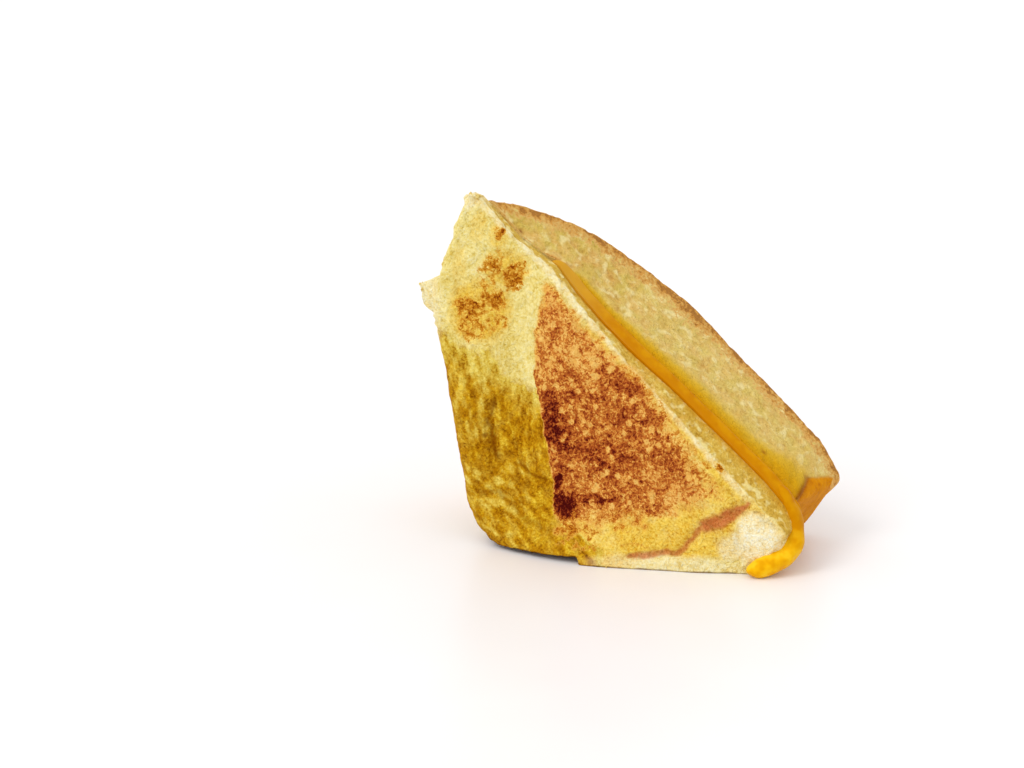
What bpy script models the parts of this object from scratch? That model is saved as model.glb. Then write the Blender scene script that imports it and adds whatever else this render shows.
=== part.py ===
"""Half of a griddled cheese sandwich, cut on the diagonal and stood on its bottom crust.

The sandwich stands with its griddled face to -Y, its crust edge on the ground and the
knife cut facing up and to +X.  Two slices of soft white bread hold one sheet of melted
cheese, which has run out of the low end of the cut and set in a curl at the foot of the
front slice.

All shape work is in millimetres in a working frame: x along the ground, y through the
slices from the griddled face backwards, z up.  place() puts it in metres with the
origin under the middle of the box round the whole sandwich.
"""

import bmesh
import bpy
import numpy as np

MM = 0.001

# The knife cut, seen from the front
CUT_ANGLE = np.radians(44.0)            # slope of the cut below the level
ALONG = np.array([np.cos(CUT_ANGLE), -np.sin(CUT_ANGLE)])    # down the cut
OUTWARD = np.array([np.sin(CUT_ANGLE), np.cos(CUT_ANGLE)])   # out of the bread
CUT_AT = 35.2                           # distance of the plain cut from the working origin
CUT_FADE = 12.0                         # depth at which the leaning of the cut dies out

# How far out the cut face stands, by place along the cut and by depth through the slices
CUT_PLACES = [-92.0, -80.0, -67.0, -50.0, -25.0, -5.0, 8.0, 20.0]
CUT_DEPTHS = [4.0, 10.0, 14.5, 40.0]
CUT_REACH = [
    [35.3, 35.5, 36.8, 35.9, 35.6, 36.3, 36.7, 36.2],
    [36.3, 36.3, 36.8, 36.0, 36.4, 38.0, 38.3, 37.4],
    [37.5, 37.6, 37.6, 36.6, 38.5, 39.8, 40.4, 39.5],
    [44.5, 44.5, 42.2, 42.4, 42.2, 43.4, 44.2, 40.5],
]

# Outlines of the slices and the cheese: corner (x, z) and its rounding
FRONT_CORNERS = [
    ((39.6, 10.6), 1.2), ((35.6, -0.6), 4.0), ((-11.5, -0.6), 0.6), ((-12.6, 1.0), 0.6),
    ((-44.0, 1.0), 13.0), ((-55.8, 62.0), 8.0), ((-52.4, 80.0), 10.0), ((-48.6, 91.2), 2.5),
    ((-44.2, 91.4), 1.2),
]
BACK_CORNERS = [
    ((36.3, 13.9), 1.5), ((27.2, -0.4), 2.0), ((24.0, -0.7), 2.0), ((-44.0, -0.7), 14.0),
    ((-54.0, 58.0), 16.0), ((-49.5, 84.0), 8.0), ((-42.5, 90.2), 1.5),
]
CHEESE_CORNERS = [
    ((38.4, 12.4), 2.0), ((33.0, 3.5), 4.0), ((-36.0, 4.0), 10.0), ((-50.0, 50.0), 8.0),
    ((-26.3, 75.0), 2.0),
]
SLICE_MIDDLE = (-14.0, 36.0)
CHEESE_MIDDLE = (-8.0, 34.0)

# Slices
CUT_EDGE = 0.9                          # rounding of the edges left by the knife
FRONT_ROUND = 5.5                       # griddled face into the crust
BACK_ROUND = 9.0                        # back face into the crust
TIP_ROUND = 4.0                         # the same at the low end
INNER_ROUND = 3.0                       # crust into the filling side
TIP_LEAN = 0.2                          # how the low end of the back slice leans out
BACK_THICK = 40.0                       # back face behind the working origin
BACK_TAPER = 31.0                       # thinning of the back slice at the top end

# Filling
CHEESE_THICK = 3.6
BARE_GAP = 0.6                          # slice to slice where no cheese lies
CLEARANCE = 0.3                         # cheese to bread
SHEET_ROUND = 1.1
# The run of cheese: centre (x, y, z) and radius
RUN = [
    ((36.6, 13.6, 19.5), 1.2), ((37.9, 13.4, 16.6), 1.6), ((39.3, 12.8, 13.6), 2.0),
    ((40.4, 11.2, 10.2), 2.2), ((40.4, 9.4, 7.0), 2.4), ((39.0, 7.4, 4.4), 2.5),
    ((36.8, 3.9, 2.8), 2.4), ((33.8, 1.2, 2.0), 1.9),
]

# Creases in the griddled face: points (x, z), depth and width
CREASES = [
    ([(5.0, 2.7), (7.6, 4.8), (14.6, 5.0), (17.9, 9.7), (22.4, 14.9), (31.3, 17.8)], 0.9, 1.6),
    ([(28.8, 12.1), (28.4, 8.1), (29.2, 3.8)], 0.8, 1.0),
    ([(-37.8, 41.0), (-38.8, 33.3), (-37.5, 23.0)], 1.5, 2.2),
]

# Torn corner on the left side of the front slice
FLAP_HEIGHT = 64.3
FLAP_REACH = 9.0

LUMP_SIZE = 15.0                        # wavelength of the unevenness of the bread
LUMP_RISE = 0.4


def ramp(value, low, high):
    """Smooth step from 0 at low to 1 at high."""
    part = np.clip((value - low) / (high - low), 0.0, 1.0)
    return part * part * (3.0 - 2.0 * part)


def hump(value, centre, width):
    """Bell curve of height 1."""
    return np.exp(-((value - centre) / width) ** 2)


def lumps(points, size, seed):
    """Soft unevenness between about -1 and 1, a sum of slanted sine waves."""
    draws = np.random.default_rng(seed)
    count = 9
    total = np.zeros(points.shape[:-1])
    for _ in range(count):
        way = draws.normal(size=3)
        way *= draws.uniform(0.7, 1.5) / np.linalg.norm(way)
        total += np.sin(points @ way * (2.0 * np.pi / size) + draws.uniform(0.0, 6.28))
    return total / np.sqrt(count)


def rounded_outline(corners, arc_points=14):
    """Closed polygon with each corner replaced by an arc of its own radius."""
    places = np.array([place for place, _ in corners])
    pieces = []
    for index, (_, radius) in enumerate(corners):
        corner = places[index]
        before = places[index - 1] - corner
        after = places[(index + 1) % len(places)] - corner
        before /= np.linalg.norm(before)
        after /= np.linalg.norm(after)
        half = np.arccos(np.clip(before @ after, -1.0, 1.0)) / 2.0
        middle = (before + after) / np.linalg.norm(before + after)
        centre = corner + middle * radius / np.sin(half)
        start = corner + before * radius / np.tan(half) - centre
        end = corner + after * radius / np.tan(half) - centre
        angle = np.arctan2(start[1], start[0])
        sweep = (np.arctan2(end[1], end[0]) - angle + np.pi) % (2.0 * np.pi) - np.pi
        turn = angle + sweep * np.linspace(0.0, 1.0, arc_points)
        pieces.append(centre + radius * np.stack([np.cos(turn), np.sin(turn)], axis=1))
    return np.concatenate(pieces)


def spaced(path, count):
    """The closed path again as count points at even steps of its length."""
    loop = np.vstack([path, path[:1]])
    length = np.concatenate([[0.0], np.cumsum(np.linalg.norm(np.diff(loop, axis=0), axis=1))])
    steps = np.linspace(0.0, length[-1], count, endpoint=False)
    return np.stack([np.interp(steps, length, loop[:, axis]) for axis in (0, 1)], axis=1)


def down_cut(flat):
    """Place along the cut of points (x, z)."""
    return flat @ ALONG


def inside_cut(flat):
    """Depth of points (x, z) behind the plain cut."""
    return CUT_AT - flat @ OUTWARD


def seam(flat):
    """y of the middle of the filling."""
    place = down_cut(flat)
    return 11.0 + 1.5 * ramp(place, -40.0, 20.0) - 2.6 * ramp(-place, 62.0, 92.0)


def filling(flat):
    """Room between the slices: cheese over the lower part, almost none at the top end."""
    open_end = 0.75 + 0.25 * ramp(inside_cut(flat), 8.0, 0.0)
    return BARE_GAP + CHEESE_THICK * ramp(down_cut(flat), -76.0, -64.0) * open_end


def crease(flat, points, depth, width):
    """Furrow of bell section along a line of points."""
    nearest = np.full(flat.shape[:-1], np.inf)
    line = np.array(points)
    for start, end in zip(line[:-1], line[1:]):
        step = end - start
        part = np.clip((flat - start) @ step / (step @ step), 0.0, 1.0)
        away = np.linalg.norm(flat - start - part[..., None] * step, axis=-1)
        nearest = np.minimum(nearest, away)
    return depth * np.exp(-(nearest / width) ** 2)


def griddled_face(flat):
    """y of the front of the sandwich: thin at the cut, full below, with a groove and creases."""
    inside = inside_cut(flat)
    x, z = flat[..., 0], flat[..., 1]
    face = 5.0 - 4.0 * ramp(inside, 0.0, 9.0) - 4.5 * ramp(inside, 4.0, 55.0)
    face -= 1.5 * ramp(-down_cut(flat), 70.0, 95.0)
    face += 3.6 * hump(x, -33.0, 7.5) * ramp(z, 8.0, 26.0) * ramp(-z, -84.0, -66.0)
    face += 3.2 * ramp(x, 16.0, 34.0) * ramp(-z, -14.0, 0.0)
    face -= 5.0 * hump(x, -10.0, 23.0) * ramp(-z, -13.0, -1.0)
    for points, depth, width in CREASES:
        face += crease(flat, points, depth, width)
    return face


def front_inner(flat):
    return seam(flat) - filling(flat) / 2.0


def back_inner(flat):
    return seam(flat) + filling(flat) / 2.0


def back_face(flat):
    """y of the back of the sandwich: level, and drawn in to a thin edge at the top end."""
    end = np.clip((-26.0 - down_cut(flat)) / 67.0, 0.0, 1.1)
    depth = np.clip(inside_cut(flat), 0.0, None)
    return BACK_THICK - BACK_TAPER * end ** 2.3 * (0.45 + 0.55 * np.exp(-depth / 22.0))


def slab(path, middle, faces, rounds, counts):
    """Closed slab between two faces over an outline.

    Rings run from the middle of the front face out to its rounded edge, across the rim
    and back to the middle of the back face.  counts are the rings on the front face, its
    edge, the rim, the back edge and the back face.
    """
    front, back = faces
    on_front, on_edge, on_rim, on_far_edge, on_back = counts
    ray = path - np.array(middle)
    length = np.linalg.norm(ray, axis=1)
    ray /= length[:, None]
    room = np.maximum(back(path) - front(path), 0.8)
    near = np.minimum(rounds[0], room * 0.4)
    far = np.minimum(rounds[1], room * 0.4)

    def ring(inset, from_front, from_back):
        flat = path - ray * inset[:, None]
        if from_back is None:
            depth = front(flat) + from_front
        else:
            depth = back(flat) - from_back
        return np.stack([flat[:, 0], depth, flat[:, 1]], axis=1)

    rings = []
    for part in np.linspace(0.0, 1.0, on_front, endpoint=False) ** 0.9:
        rings.append(ring(length - part * (length - near), np.zeros(len(path)), None))
    for turn in np.linspace(0.0, np.pi / 2.0, on_edge, endpoint=False):
        rings.append(ring(near * (1.0 - np.sin(turn)), near * (1.0 - np.cos(turn)), None))
    rim_start = ring(np.zeros(len(path)), near, None)
    rim_end = ring(np.zeros(len(path)), None, far)
    for part in np.linspace(0.0, 1.0, on_rim):
        rings.append(rim_start + part * (rim_end - rim_start))
    for turn in np.linspace(np.pi / 2.0, 0.0, on_far_edge + 1)[1:]:
        rings.append(ring(far * (1.0 - np.sin(turn)), None, far * (1.0 - np.cos(turn))))
    for part in (np.linspace(0.0, 1.0, on_back, endpoint=False) ** 0.9)[::-1]:
        rings.append(ring(length - part * (length - far), None, np.zeros(len(path))))
    return np.array(rings)


def cut_reach(depth, place):
    """Distance of the cut face from the working origin, by depth and place along the cut."""
    rows = [np.interp(place, CUT_PLACES, row) for row in CUT_REACH]
    reach = rows[0].copy()
    for index in range(1, len(rows)):
        low, high = CUT_DEPTHS[index - 1], CUT_DEPTHS[index]
        reach += np.clip((depth - low) / (high - low), 0.0, 1.0) * (rows[index] - rows[index - 1])
    return reach


def lean(points):
    """Lean the cut side outwards towards the back, and the low end with it."""
    flat = points[..., [0, 2]]
    depth = points[..., 1]
    place = down_cut(flat)
    near_cut = np.exp(-np.clip(inside_cut(flat), 0.0, None) / CUT_FADE)
    near_tip = np.exp(-np.clip(18.0 - place, 0.0, None) / 9.0)
    shift = ((cut_reach(depth, place) - CUT_AT) * near_cut)[..., None] * OUTWARD
    shift += (TIP_LEAN * np.clip(depth - 15.0, 0.0, None) * near_tip)[..., None] * ALONG
    moved = points.copy()
    moved[..., 0] += shift[..., 0]
    moved[..., 2] += shift[..., 1]
    return moved


def rest(points):
    """Flatten whatever would go below the ground."""
    settled = points.copy()
    settled[..., 2] = np.maximum(settled[..., 2], 0.0)
    return settled


def roughen(points, middle, seed):
    """Push the outside of a slice in and out a little, away from the ground and the filling."""
    depth = points[..., 1]
    flat = points[..., [0, 2]]
    clear = ramp(np.abs(depth - seam(flat)), 1.5, 5.0) * ramp(points[..., 2], 0.5, 5.0)
    away = points - np.array([middle[0], seam(np.array(middle)), middle[1]])
    away /= np.linalg.norm(away, axis=-1, keepdims=True) + 1e-6
    return points + away * (LUMP_RISE * lumps(points, LUMP_SIZE, seed) * clear)[..., None]


def slice_rings(corners, faces, rounds, points, counts, seed):
    """One slice of bread: slab, leaning cut, uneven skin, flat foot."""
    path = spaced(rounded_outline(corners), points)
    on_cut = ramp(-inside_cut(path), -3.5, -0.6)
    on_tip = ramp(down_cut(path), 8.0, 18.0)
    near = rounds[0] + (CUT_EDGE - rounds[0]) * on_cut
    far = rounds[1] + (min(rounds[1], TIP_ROUND) - rounds[1]) * on_tip
    far = far + (CUT_EDGE - far) * on_cut
    rings = slab(path, SLICE_MIDDLE, faces, (near, far), counts)
    return rest(roughen(lean(rings), SLICE_MIDDLE, seed))


def torn_flap(points):
    """Pull the back of the left side of the front slice out to a torn point."""
    x, y, z = points[..., 0], points[..., 1], points[..., 2]
    where = ramp(-x, 46.0, 54.0) * ramp(y, 1.0, 9.0)
    height = np.where(z > FLAP_HEIGHT, hump(z, FLAP_HEIGHT, 3.4), hump(z, FLAP_HEIGHT, 5.0))
    moved = points.copy()
    moved[..., 0] -= FLAP_REACH * where * height
    return moved


def sheet_rings():
    """The cheese between the slices."""
    def thin(flat):
        room = CLEARANCE * (1.0 + 1.2 * ramp(inside_cut(flat), 1.0, 8.0))
        return np.maximum(filling(flat) / 2.0 - room, 0.2)

    path = spaced(rounded_outline(CHEESE_CORNERS), 84)
    faces = (lambda flat: seam(flat) - thin(flat), lambda flat: seam(flat) + thin(flat))
    rounds = (np.full(len(path), SHEET_ROUND), np.full(len(path), SHEET_ROUND))
    return rest(lean(slab(path, CHEESE_MIDDLE, faces, rounds, (4, 3, 2, 3, 4))))


def run_rings(swell=0.0, steps=22, around=16):
    """The run of cheese: a tube of changing radius along a smooth line, with round ends."""
    table = np.array([list(centre) + [radius + swell] for centre, radius in RUN])
    ends = np.vstack([2.0 * table[0] - table[1], table, 2.0 * table[-1] - table[-2]])
    at = np.linspace(0.0, len(table) - 1.0, steps)
    index = np.minimum(at.astype(int), len(table) - 2)
    part = (at - index)[:, None]
    a, b, c, d = (ends[index + shift] for shift in range(4))
    curve = b + 0.5 * part * (c - a + part * (2.0 * a - 5.0 * b + 4.0 * c - d
                                              + part * (3.0 * (b - c) + d - a)))
    centre, radius = curve[:, :3], curve[:, 3]
    heading = np.gradient(centre, axis=0)
    heading /= np.linalg.norm(heading, axis=1)[:, None]
    side = np.cross(heading, (0.0, 1.0, 0.3))
    side /= np.linalg.norm(side, axis=1)[:, None]
    over = np.cross(side, heading)
    from_end = np.minimum(np.arange(steps), np.arange(steps)[::-1])
    cap = np.sqrt(1.0 - (1.0 - np.clip((from_end + 0.15) / 3.0, 0.0, 1.0)) ** 2)
    turn = np.linspace(0.0, 2.0 * np.pi, around, endpoint=False)[None, :, None]
    spoke = np.cos(turn) * side[:, None] + np.sin(turn) * over[:, None]
    return rest(centre[:, None] + (radius * cap)[:, None, None] * spoke)


def place(points, origin):
    """Working millimetres to metres in the frame of the part."""
    return (points - origin) * MM


def closed_mesh(name, rings, origin, material):
    """Closed surface through a stack of rings, with a point at each end."""
    count, around = rings.shape[:2]
    body = rings.reshape(-1, 3)
    ends = np.array([rings[0].mean(axis=0), rings[-1].mean(axis=0)])
    points = place(np.vstack([body, ends]), origin)
    faces = []
    for row in range(count - 1):
        for step in range(around):
            turn = (step + 1) % around
            low, high = row * around, (row + 1) * around
            faces.append((low + step, high + step, high + turn, low + turn))
    for step in range(around):
        turn = (step + 1) % around
        last = (count - 1) * around
        faces.append((len(body), step, turn))
        faces.append((len(body) + 1, last + turn, last + step))
    mesh = bpy.data.meshes.new(name)
    mesh.from_pydata([tuple(point) for point in points], [], faces)
    shaped = bmesh.new()
    shaped.from_mesh(mesh)
    if shaped.calc_volume(signed=True) < 0.0:
        bmesh.ops.reverse_faces(shaped, faces=shaped.faces)
    shaped.to_mesh(mesh)
    shaped.free()
    thing = bpy.data.objects.new(name, mesh)
    bpy.context.scene.collection.objects.link(thing)
    mesh.materials.append(material)
    return thing


def combine(target, tool, operation):
    """Exact Boolean of two solids; the tool is removed afterwards."""
    step = target.modifiers.new("combine", "BOOLEAN")
    step.operation = operation
    step.solver = "EXACT"
    step.object = tool
    bpy.context.view_layer.update()
    graph = bpy.context.evaluated_depsgraph_get()
    result = bpy.data.meshes.new_from_object(target.evaluated_get(graph))
    target.modifiers.clear()
    target.data = result
    bpy.data.objects.remove(tool, do_unlink=True)


def tidy(thing, sharp_above):
    """Join points left on top of each other, then shade smooth up to the given angle."""
    shaped = bmesh.new()
    shaped.from_mesh(thing.data)
    bmesh.ops.remove_doubles(shaped, verts=shaped.verts, dist=0.02 * MM)
    bmesh.ops.dissolve_degenerate(shaped, edges=shaped.edges, dist=0.01 * MM)
    shaped.to_mesh(thing.data)
    shaped.free()
    thing.data.shade_smooth()
    thing.data.set_sharp_from_angle(angle=np.radians(sharp_above))


def surface(name, colour, roughness):
    """Plain material of one colour."""
    material = bpy.data.materials.new(name)
    material.use_nodes = True
    shader = material.node_tree.nodes["Principled BSDF"]
    shader.inputs["Base Color"].default_value = (*colour, 1.0)
    shader.inputs["Roughness"].default_value = roughness
    shader.inputs["Metallic"].default_value = 0.0
    return material


def build():
    for thing in list(bpy.data.objects):
        bpy.data.objects.remove(thing, do_unlink=True)

    crumb = surface("griddled_crumb", (0.74, 0.50, 0.16), 0.75)
    rind = surface("back_crumb", (0.70, 0.47, 0.17), 0.8)
    cheese = surface("melted_cheese", (0.83, 0.36, 0.02), 0.35)

    front = torn_flap(slice_rings(
        FRONT_CORNERS, (griddled_face, front_inner), (FRONT_ROUND, INNER_ROUND),
        96, (14, 4, 4, 2, 4), 5))
    back = slice_rings(
        BACK_CORNERS, (back_inner, back_face), (INNER_ROUND, BACK_ROUND),
        96, (4, 2, 8, 5, 8), 8)
    sheet = sheet_rings()
    run = run_rings()

    everything = np.vstack([rings.reshape(-1, 3) for rings in (front, back, sheet, run)])
    low, high = everything.min(axis=0), everything.max(axis=0)
    origin = np.array([(low[0] + high[0]) / 2.0, (low[1] + high[1]) / 2.0, low[2]])

    front_slice = closed_mesh("front_bread", front, origin, crumb)
    back_slice = closed_mesh("back_bread", back, origin, rind)
    filling_sheet = closed_mesh("cheese", sheet, origin, cheese)
    combine(filling_sheet, closed_mesh("run", run, origin, cheese), "UNION")
    for bread in (front_slice, back_slice):
        clear = closed_mesh("clear", run_rings(CLEARANCE), origin, crumb)
        combine(bread, clear, "DIFFERENCE")
    for thing in (front_slice, back_slice, filling_sheet):
        tidy(thing, 50.0)


build()
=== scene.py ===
"""Looks of half a griddled cheese sandwich, stood on its crust with the diagonal cut showing.

Two slices of soft buttered bread and the melted cheese between them are dense surfaces
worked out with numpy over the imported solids.  Shape work is in millimetres in a working
frame: x along the ground, y from the griddled face backwards, z up.
"""

import bpy
import numpy as np
from bpy.props import FloatProperty, FloatVectorProperty, IntProperty, PointerProperty
from mathutils import Matrix


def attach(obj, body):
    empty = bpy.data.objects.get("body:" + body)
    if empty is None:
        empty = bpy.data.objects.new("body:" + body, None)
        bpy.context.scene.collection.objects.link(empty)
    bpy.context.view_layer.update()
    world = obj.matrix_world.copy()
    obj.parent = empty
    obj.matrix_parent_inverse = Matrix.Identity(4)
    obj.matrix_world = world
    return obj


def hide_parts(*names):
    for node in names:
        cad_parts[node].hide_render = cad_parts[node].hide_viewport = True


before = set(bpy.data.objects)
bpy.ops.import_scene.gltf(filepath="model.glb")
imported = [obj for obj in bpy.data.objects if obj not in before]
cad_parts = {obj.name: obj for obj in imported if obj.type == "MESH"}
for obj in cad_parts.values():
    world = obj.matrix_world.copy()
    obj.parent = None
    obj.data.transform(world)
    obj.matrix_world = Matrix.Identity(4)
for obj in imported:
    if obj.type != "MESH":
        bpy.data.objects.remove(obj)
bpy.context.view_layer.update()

bl_info = {
    "name": "Grilled Cheese Sandwich Half",
    "version": (1, 0, 0),
    "blender": (4, 5, 0),
    "location": "3D View > Sidebar > Sandwich",
    "description": "Builds the browned bread, the melted cheese, the crumbs and the stage",
    "category": "Object",
}

MM = 0.001
WORK_ORIGIN = np.array([-10.0046, 16.9164, 0.0])    # middle of the solids' foot in the working frame
AIM_DEPTH = 7.7      # y of the point that the camera is aimed by, in the working frame
FLOOR_HALF = 3.0     # metres

# The knife cut, seen from the front
CUT_ANGLE = np.radians(44.0)
ALONG = np.array([np.cos(CUT_ANGLE), -np.sin(CUT_ANGLE)])
OUTWARD = np.array([np.sin(CUT_ANGLE), np.cos(CUT_ANGLE)])
CUT_AT = 35.2
CUT_FADE = 12.0

# How far out the cut face stands, by place along the cut and by depth through the slices
CUT_PLACES = [-92.0, -80.0, -68.0, -60.0, -50.0, -38.0, -25.0, -5.0, 8.0, 14.0, 20.0]
CUT_DEPTHS = [4.0, 10.0, 14.5, 40.0]
CUT_REACH = [
    [35.5, 35.1, 36.3, 36.3, 35.8, 34.7, 34.9, 34.9, 35.2, 35.6, 36.0],
    [34.6, 34.5, 36.2, 35.2, 35.2, 36.0, 37.2, 38.0, 38.3, 37.9, 37.4],
    [37.0, 36.8, 37.0, 36.3, 36.5, 37.5, 38.7, 39.8, 40.4, 40.0, 39.5],
    [45.5, 47.0, 44.6, 43.9, 43.6, 44.0, 44.0, 45.1, 45.4, 43.5, 40.8],
]

# Outlines of the slices and the cheese: corner (x, z) and its rounding
FRONT_CORNERS = [
    ((39.6, 10.6), 1.2), ((35.6, -0.6), 4.0), ((-10.8, -0.6), 0.6), ((-11.6, 1.4), 0.6),
    ((-44.0, 0.6), 12.0), ((-55.8, 62.0), 8.0), ((-53.0, 74.0), 10.0), ((-49.2, 84.5), 8.0),
    ((-47.0, 91.2), 2.0), ((-44.2, 91.4), 1.2),
]
BACK_CORNERS = [
    ((36.3, 13.9), 1.5), ((27.2, -0.4), 2.0), ((24.0, -0.7), 2.0), ((-44.0, -0.7), 14.0),
    ((-54.0, 58.0), 16.0), ((-49.5, 84.0), 8.0), ((-42.5, 90.2), 1.5),
]
CHEESE_CORNERS = [
    ((38.4, 12.4), 2.0), ((34.2, 1.8), 3.0), ((-36.0, 2.6), 10.0), ((-50.0, 50.0), 8.0),
    ((-26.3, 75.0), 2.0),
]
SLICE_MIDDLE = (-14.0, 36.0)
CHEESE_MIDDLE = (-8.0, 34.0)

# Rounding of the edges, thicknesses and places of the seam and the torn point, in millimetres
CUT_EDGE = 0.9
TIP_ROUND = 4.0
INNER_ROUND = 3.0
SEAM_EDGE = 0.25
TIP_LEAN = 0.2
TIP_FROM = 15.0
BACK_THICK = 40.0
BACK_TAPER = 31.0
CHEESE_THICK = 3.6
BARE_GAP = 0.2
SEAM_DEPTH = 11.0
SEAM_SHIFT = 0.8
FLAP_HEIGHT = 65.8
FLAP_ABOVE = 5.5
FLAP_BELOW = 15.0
FOOT_ROUND = 1.2

# The run of cheese at the low end: centre (x, y, z) and radius
RUN = [
    ((34.6, 13.6, 22.0), 1.3), ((36.9, 13.5, 18.2), 2.0), ((38.9, 13.0, 14.4), 2.5),
    ((40.3, 11.4, 10.6), 2.6), ((40.4, 9.6, 7.2), 2.8), ((38.6, 7.2, 4.5), 2.8),
    ((35.4, 3.6, 2.7), 2.5), ((31.4, 0.8, 1.8), 1.8),
]
RUN_FOLD = [(36.8, 4.4, 7.4), (38.9, 6.2, 7.0), (41.6, 7.6, 4.8)]

# Creases in the griddled face: points (x, z), depth and width
FOOT_CREASE = [(1.8, 3.0), (4.3, 3.3), (9.1, 4.2), (13.9, 4.7), (16.2, 7.7), (18.6, 10.8), (21.6, 13.4)]
BRUISE = [(20.6, 12.4), (24.0, 14.0), (27.0, 15.8), (30.1, 18.0)]
TIP_CRACK = [(28.8, 12.1), (28.4, 8.1), (29.2, 3.8)]
LEFT_CREASE = [(-38.8, 38.0), (-39.3, 33.6), (-39.0, 30.2), (-37.9, 26.5), (-36.9, 23.6)]
LOW_CREASE = [(-31.0, 23.0), (-27.6, 20.2), (-22.4, 19.4)]
FOOT_FOLD = [(-41.0, 14.4), (-35.4, 14.6), (-29.0, 9.8), (-22.0, 7.2)]
CREASES = [
    (FOOT_CREASE + BRUISE[2:], 0.9, 1.3), (TIP_CRACK, 0.8, 0.8), (LEFT_CREASE, 0.6, 1.2),
    (LOW_CREASE, 0.4, 1.0), (FOOT_FOLD, 0.5, 1.5),
]

# Painted shade along the creases: points, strength and width, and two brown specks beside them
CREASE_SHADES = [(LEFT_CREASE, 0.85, 0.65), (LOW_CREASE, 0.7, 0.55), (FOOT_FOLD, 0.5, 0.6)]
CREASE_SPECKS = [((-39.9, 29.4), (0.9, 0.9), 0.8), ((-39.0, 27.6), (0.8, 0.6), 0.7)]

# The large browned patch: left edge as x by height, foot as z by x, and margin kept from the cut
PATCH_HEIGHTS = [9.6, 14.6, 19.8, 27.4, 37.4, 47.3, 55.3, 63.4, 69.4]
PATCH_LEFT = [-19.4, -20.4, -20.6, -22.4, -25.3, -28.1, -27.7, -26.1, -26.1]
PATCH_PLACES = [-19.3, -13.6, -7.0, 0.6, 5.3, 8.4, 16.0, 19.0, 25.0]
PATCH_FOOT = [9.1, 8.4, 9.3, 10.8, 11.6, 12.6, 15.0, 16.4, 19.0]
MARGIN_PLACES = [-62.0, -45.0, -37.0, -31.0, -26.0, -18.0, -10.0, -3.0, 4.0, 8.0]
MARGINS = [1.7, 1.6, 1.0, 0.4, 0.4, 1.3, 2.2, 3.7, 4.5, 4.6]

# Darker and lighter clouds in the patch, and the smaller patches and spots: centre, half sizes, browning
CLOUDS = [
    ((-1.0, 46.4), (4.5, 3.6), 0.16), ((-7.0, 43.0), (9.0, 8.0), 0.09), ((-22.6, 40.4), (3.6, 3.0), 0.20),
    ((-22.2, 34.0), (2.6, 6.4), 0.34), ((-18.2, 32.6), (2.8, 4.8), 0.26), ((-18.6, 28.2), (4.2, 2.2), 0.24),
    ((-6.6, 28.1), (8.5, 4.5), 0.12), ((9.0, 28.4), (5.0, 3.2), 0.12), ((-18.0, 21.8), (2.6, 2.4), 0.22),
    ((-20.0, 17.0), (2.2, 4.6), 0.54), ((-16.2, 12.2), (3.2, 4.0), 0.50), ((-9.3, 16.4), (6.5, 1.1), 0.28),
]
PALER_CLOUDS = [
    ((-14.1, 52.1), (5.5, 4.0), 0.13), ((15.5, 18.0), (9.5, 4.5), 0.14), ((-12.0, 24.0), (4.0, 2.5), 0.08),
    ((-19.0, 26.6), (2.4, 1.6), 0.16), ((-22.6, 50.0), (2.0, 1.4), 0.18),
]
SPOTS = [
    ((-39.8, 73.4), (2.6, 2.6), 0.50), ((-38.0, 76.0), (1.8, 2.0), 0.34), ((-34.6, 70.6), (2.8, 3.6), 0.54),
    ((-32.2, 74.0), (1.4, 2.4), 0.42), ((-45.4, 62.4), (3.9, 3.4), 0.62), ((-39.7, 64.2), (3.4, 3.4), 0.56),
    ((-40.2, 69.0), (2.0, 2.8), 0.34), ((-44.4, 57.0), (3.6, 3.4), 0.40), ((-38.2, 58.6), (2.4, 2.4), 0.34),
    ((-38.2, 82.5), (1.3, 1.7), 0.48),
    ((-15.2, 7.7), (3.6, 1.6), 0.50), ((-9.2, 8.0), (2.4, 1.3), 0.42), ((-1.4, 9.4), (2.6, 1.2), 0.36),
    ((18.4, 27.0), (1.7, 0.9), 0.52), ((21.8, 27.3), (1.3, 1.3), 0.60), ((-12.0, 4.8), (8.0, 1.0), 0.20),
    ((3.0, 5.6), (6.0, 0.8), 0.18),
]

# Where butter has soaked in, left of the patch, its olive partly painted shade and orange bounce light:
# upper edge as z by x
BUTTER_PLACES = [-50.2, -44.0, -38.8, -36.5, -30.8, -26.6]
BUTTER_TOP = [52.9, 50.1, 48.6, 45.3, 42.5, 38.5]

# Golden, white and torn places: centre, half sizes, strength
GOLDEN = [
    ((-42.5, 62.0), (9.0, 10.0), 0.75), ((-36.0, 73.0), (7.0, 6.0), 0.65), ((-38.0, 82.0), (3.0, 4.0), 0.6),
    ((22.0, 23.0), (6.5, 7.0), 0.8), ((-4.0, 2.5), (9.0, 4.0), 0.7), ((-47.5, 72.0), (2.5, 9.0), 0.4),
    ((-43.0, 84.0), (2.5, 5.0), 0.45),
]
WHITE = [
    ((33.2, 9.2), (6.4, 7.0), 1.0), ((31.8, 12.6), (4.2, 4.0), 1.0), ((-45.5, 91.0), (3.4, 2.6), 0.7),
    ((26.6, 6.6), (3.2, 3.6), 0.55), ((12.0, 1.2), (20.0, 3.0), 0.45),
]
TORN = [((-60.0, 61.0), (8.0, 12.0), 1.0), ((-46.5, 91.5), (3.4, 3.0), 1.0)]

# Where the open crumb of the back slice ends at the low tip: place along the cut by depth
TIP_DEPTHS = [11.0, 14.0, 18.0, 21.6, 25.6, 29.3, 33.2, 38.0]
TIP_PLACES = [18.2, 17.0, 16.0, 15.2, 14.1, 15.6, 17.2, 19.4]
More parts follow.
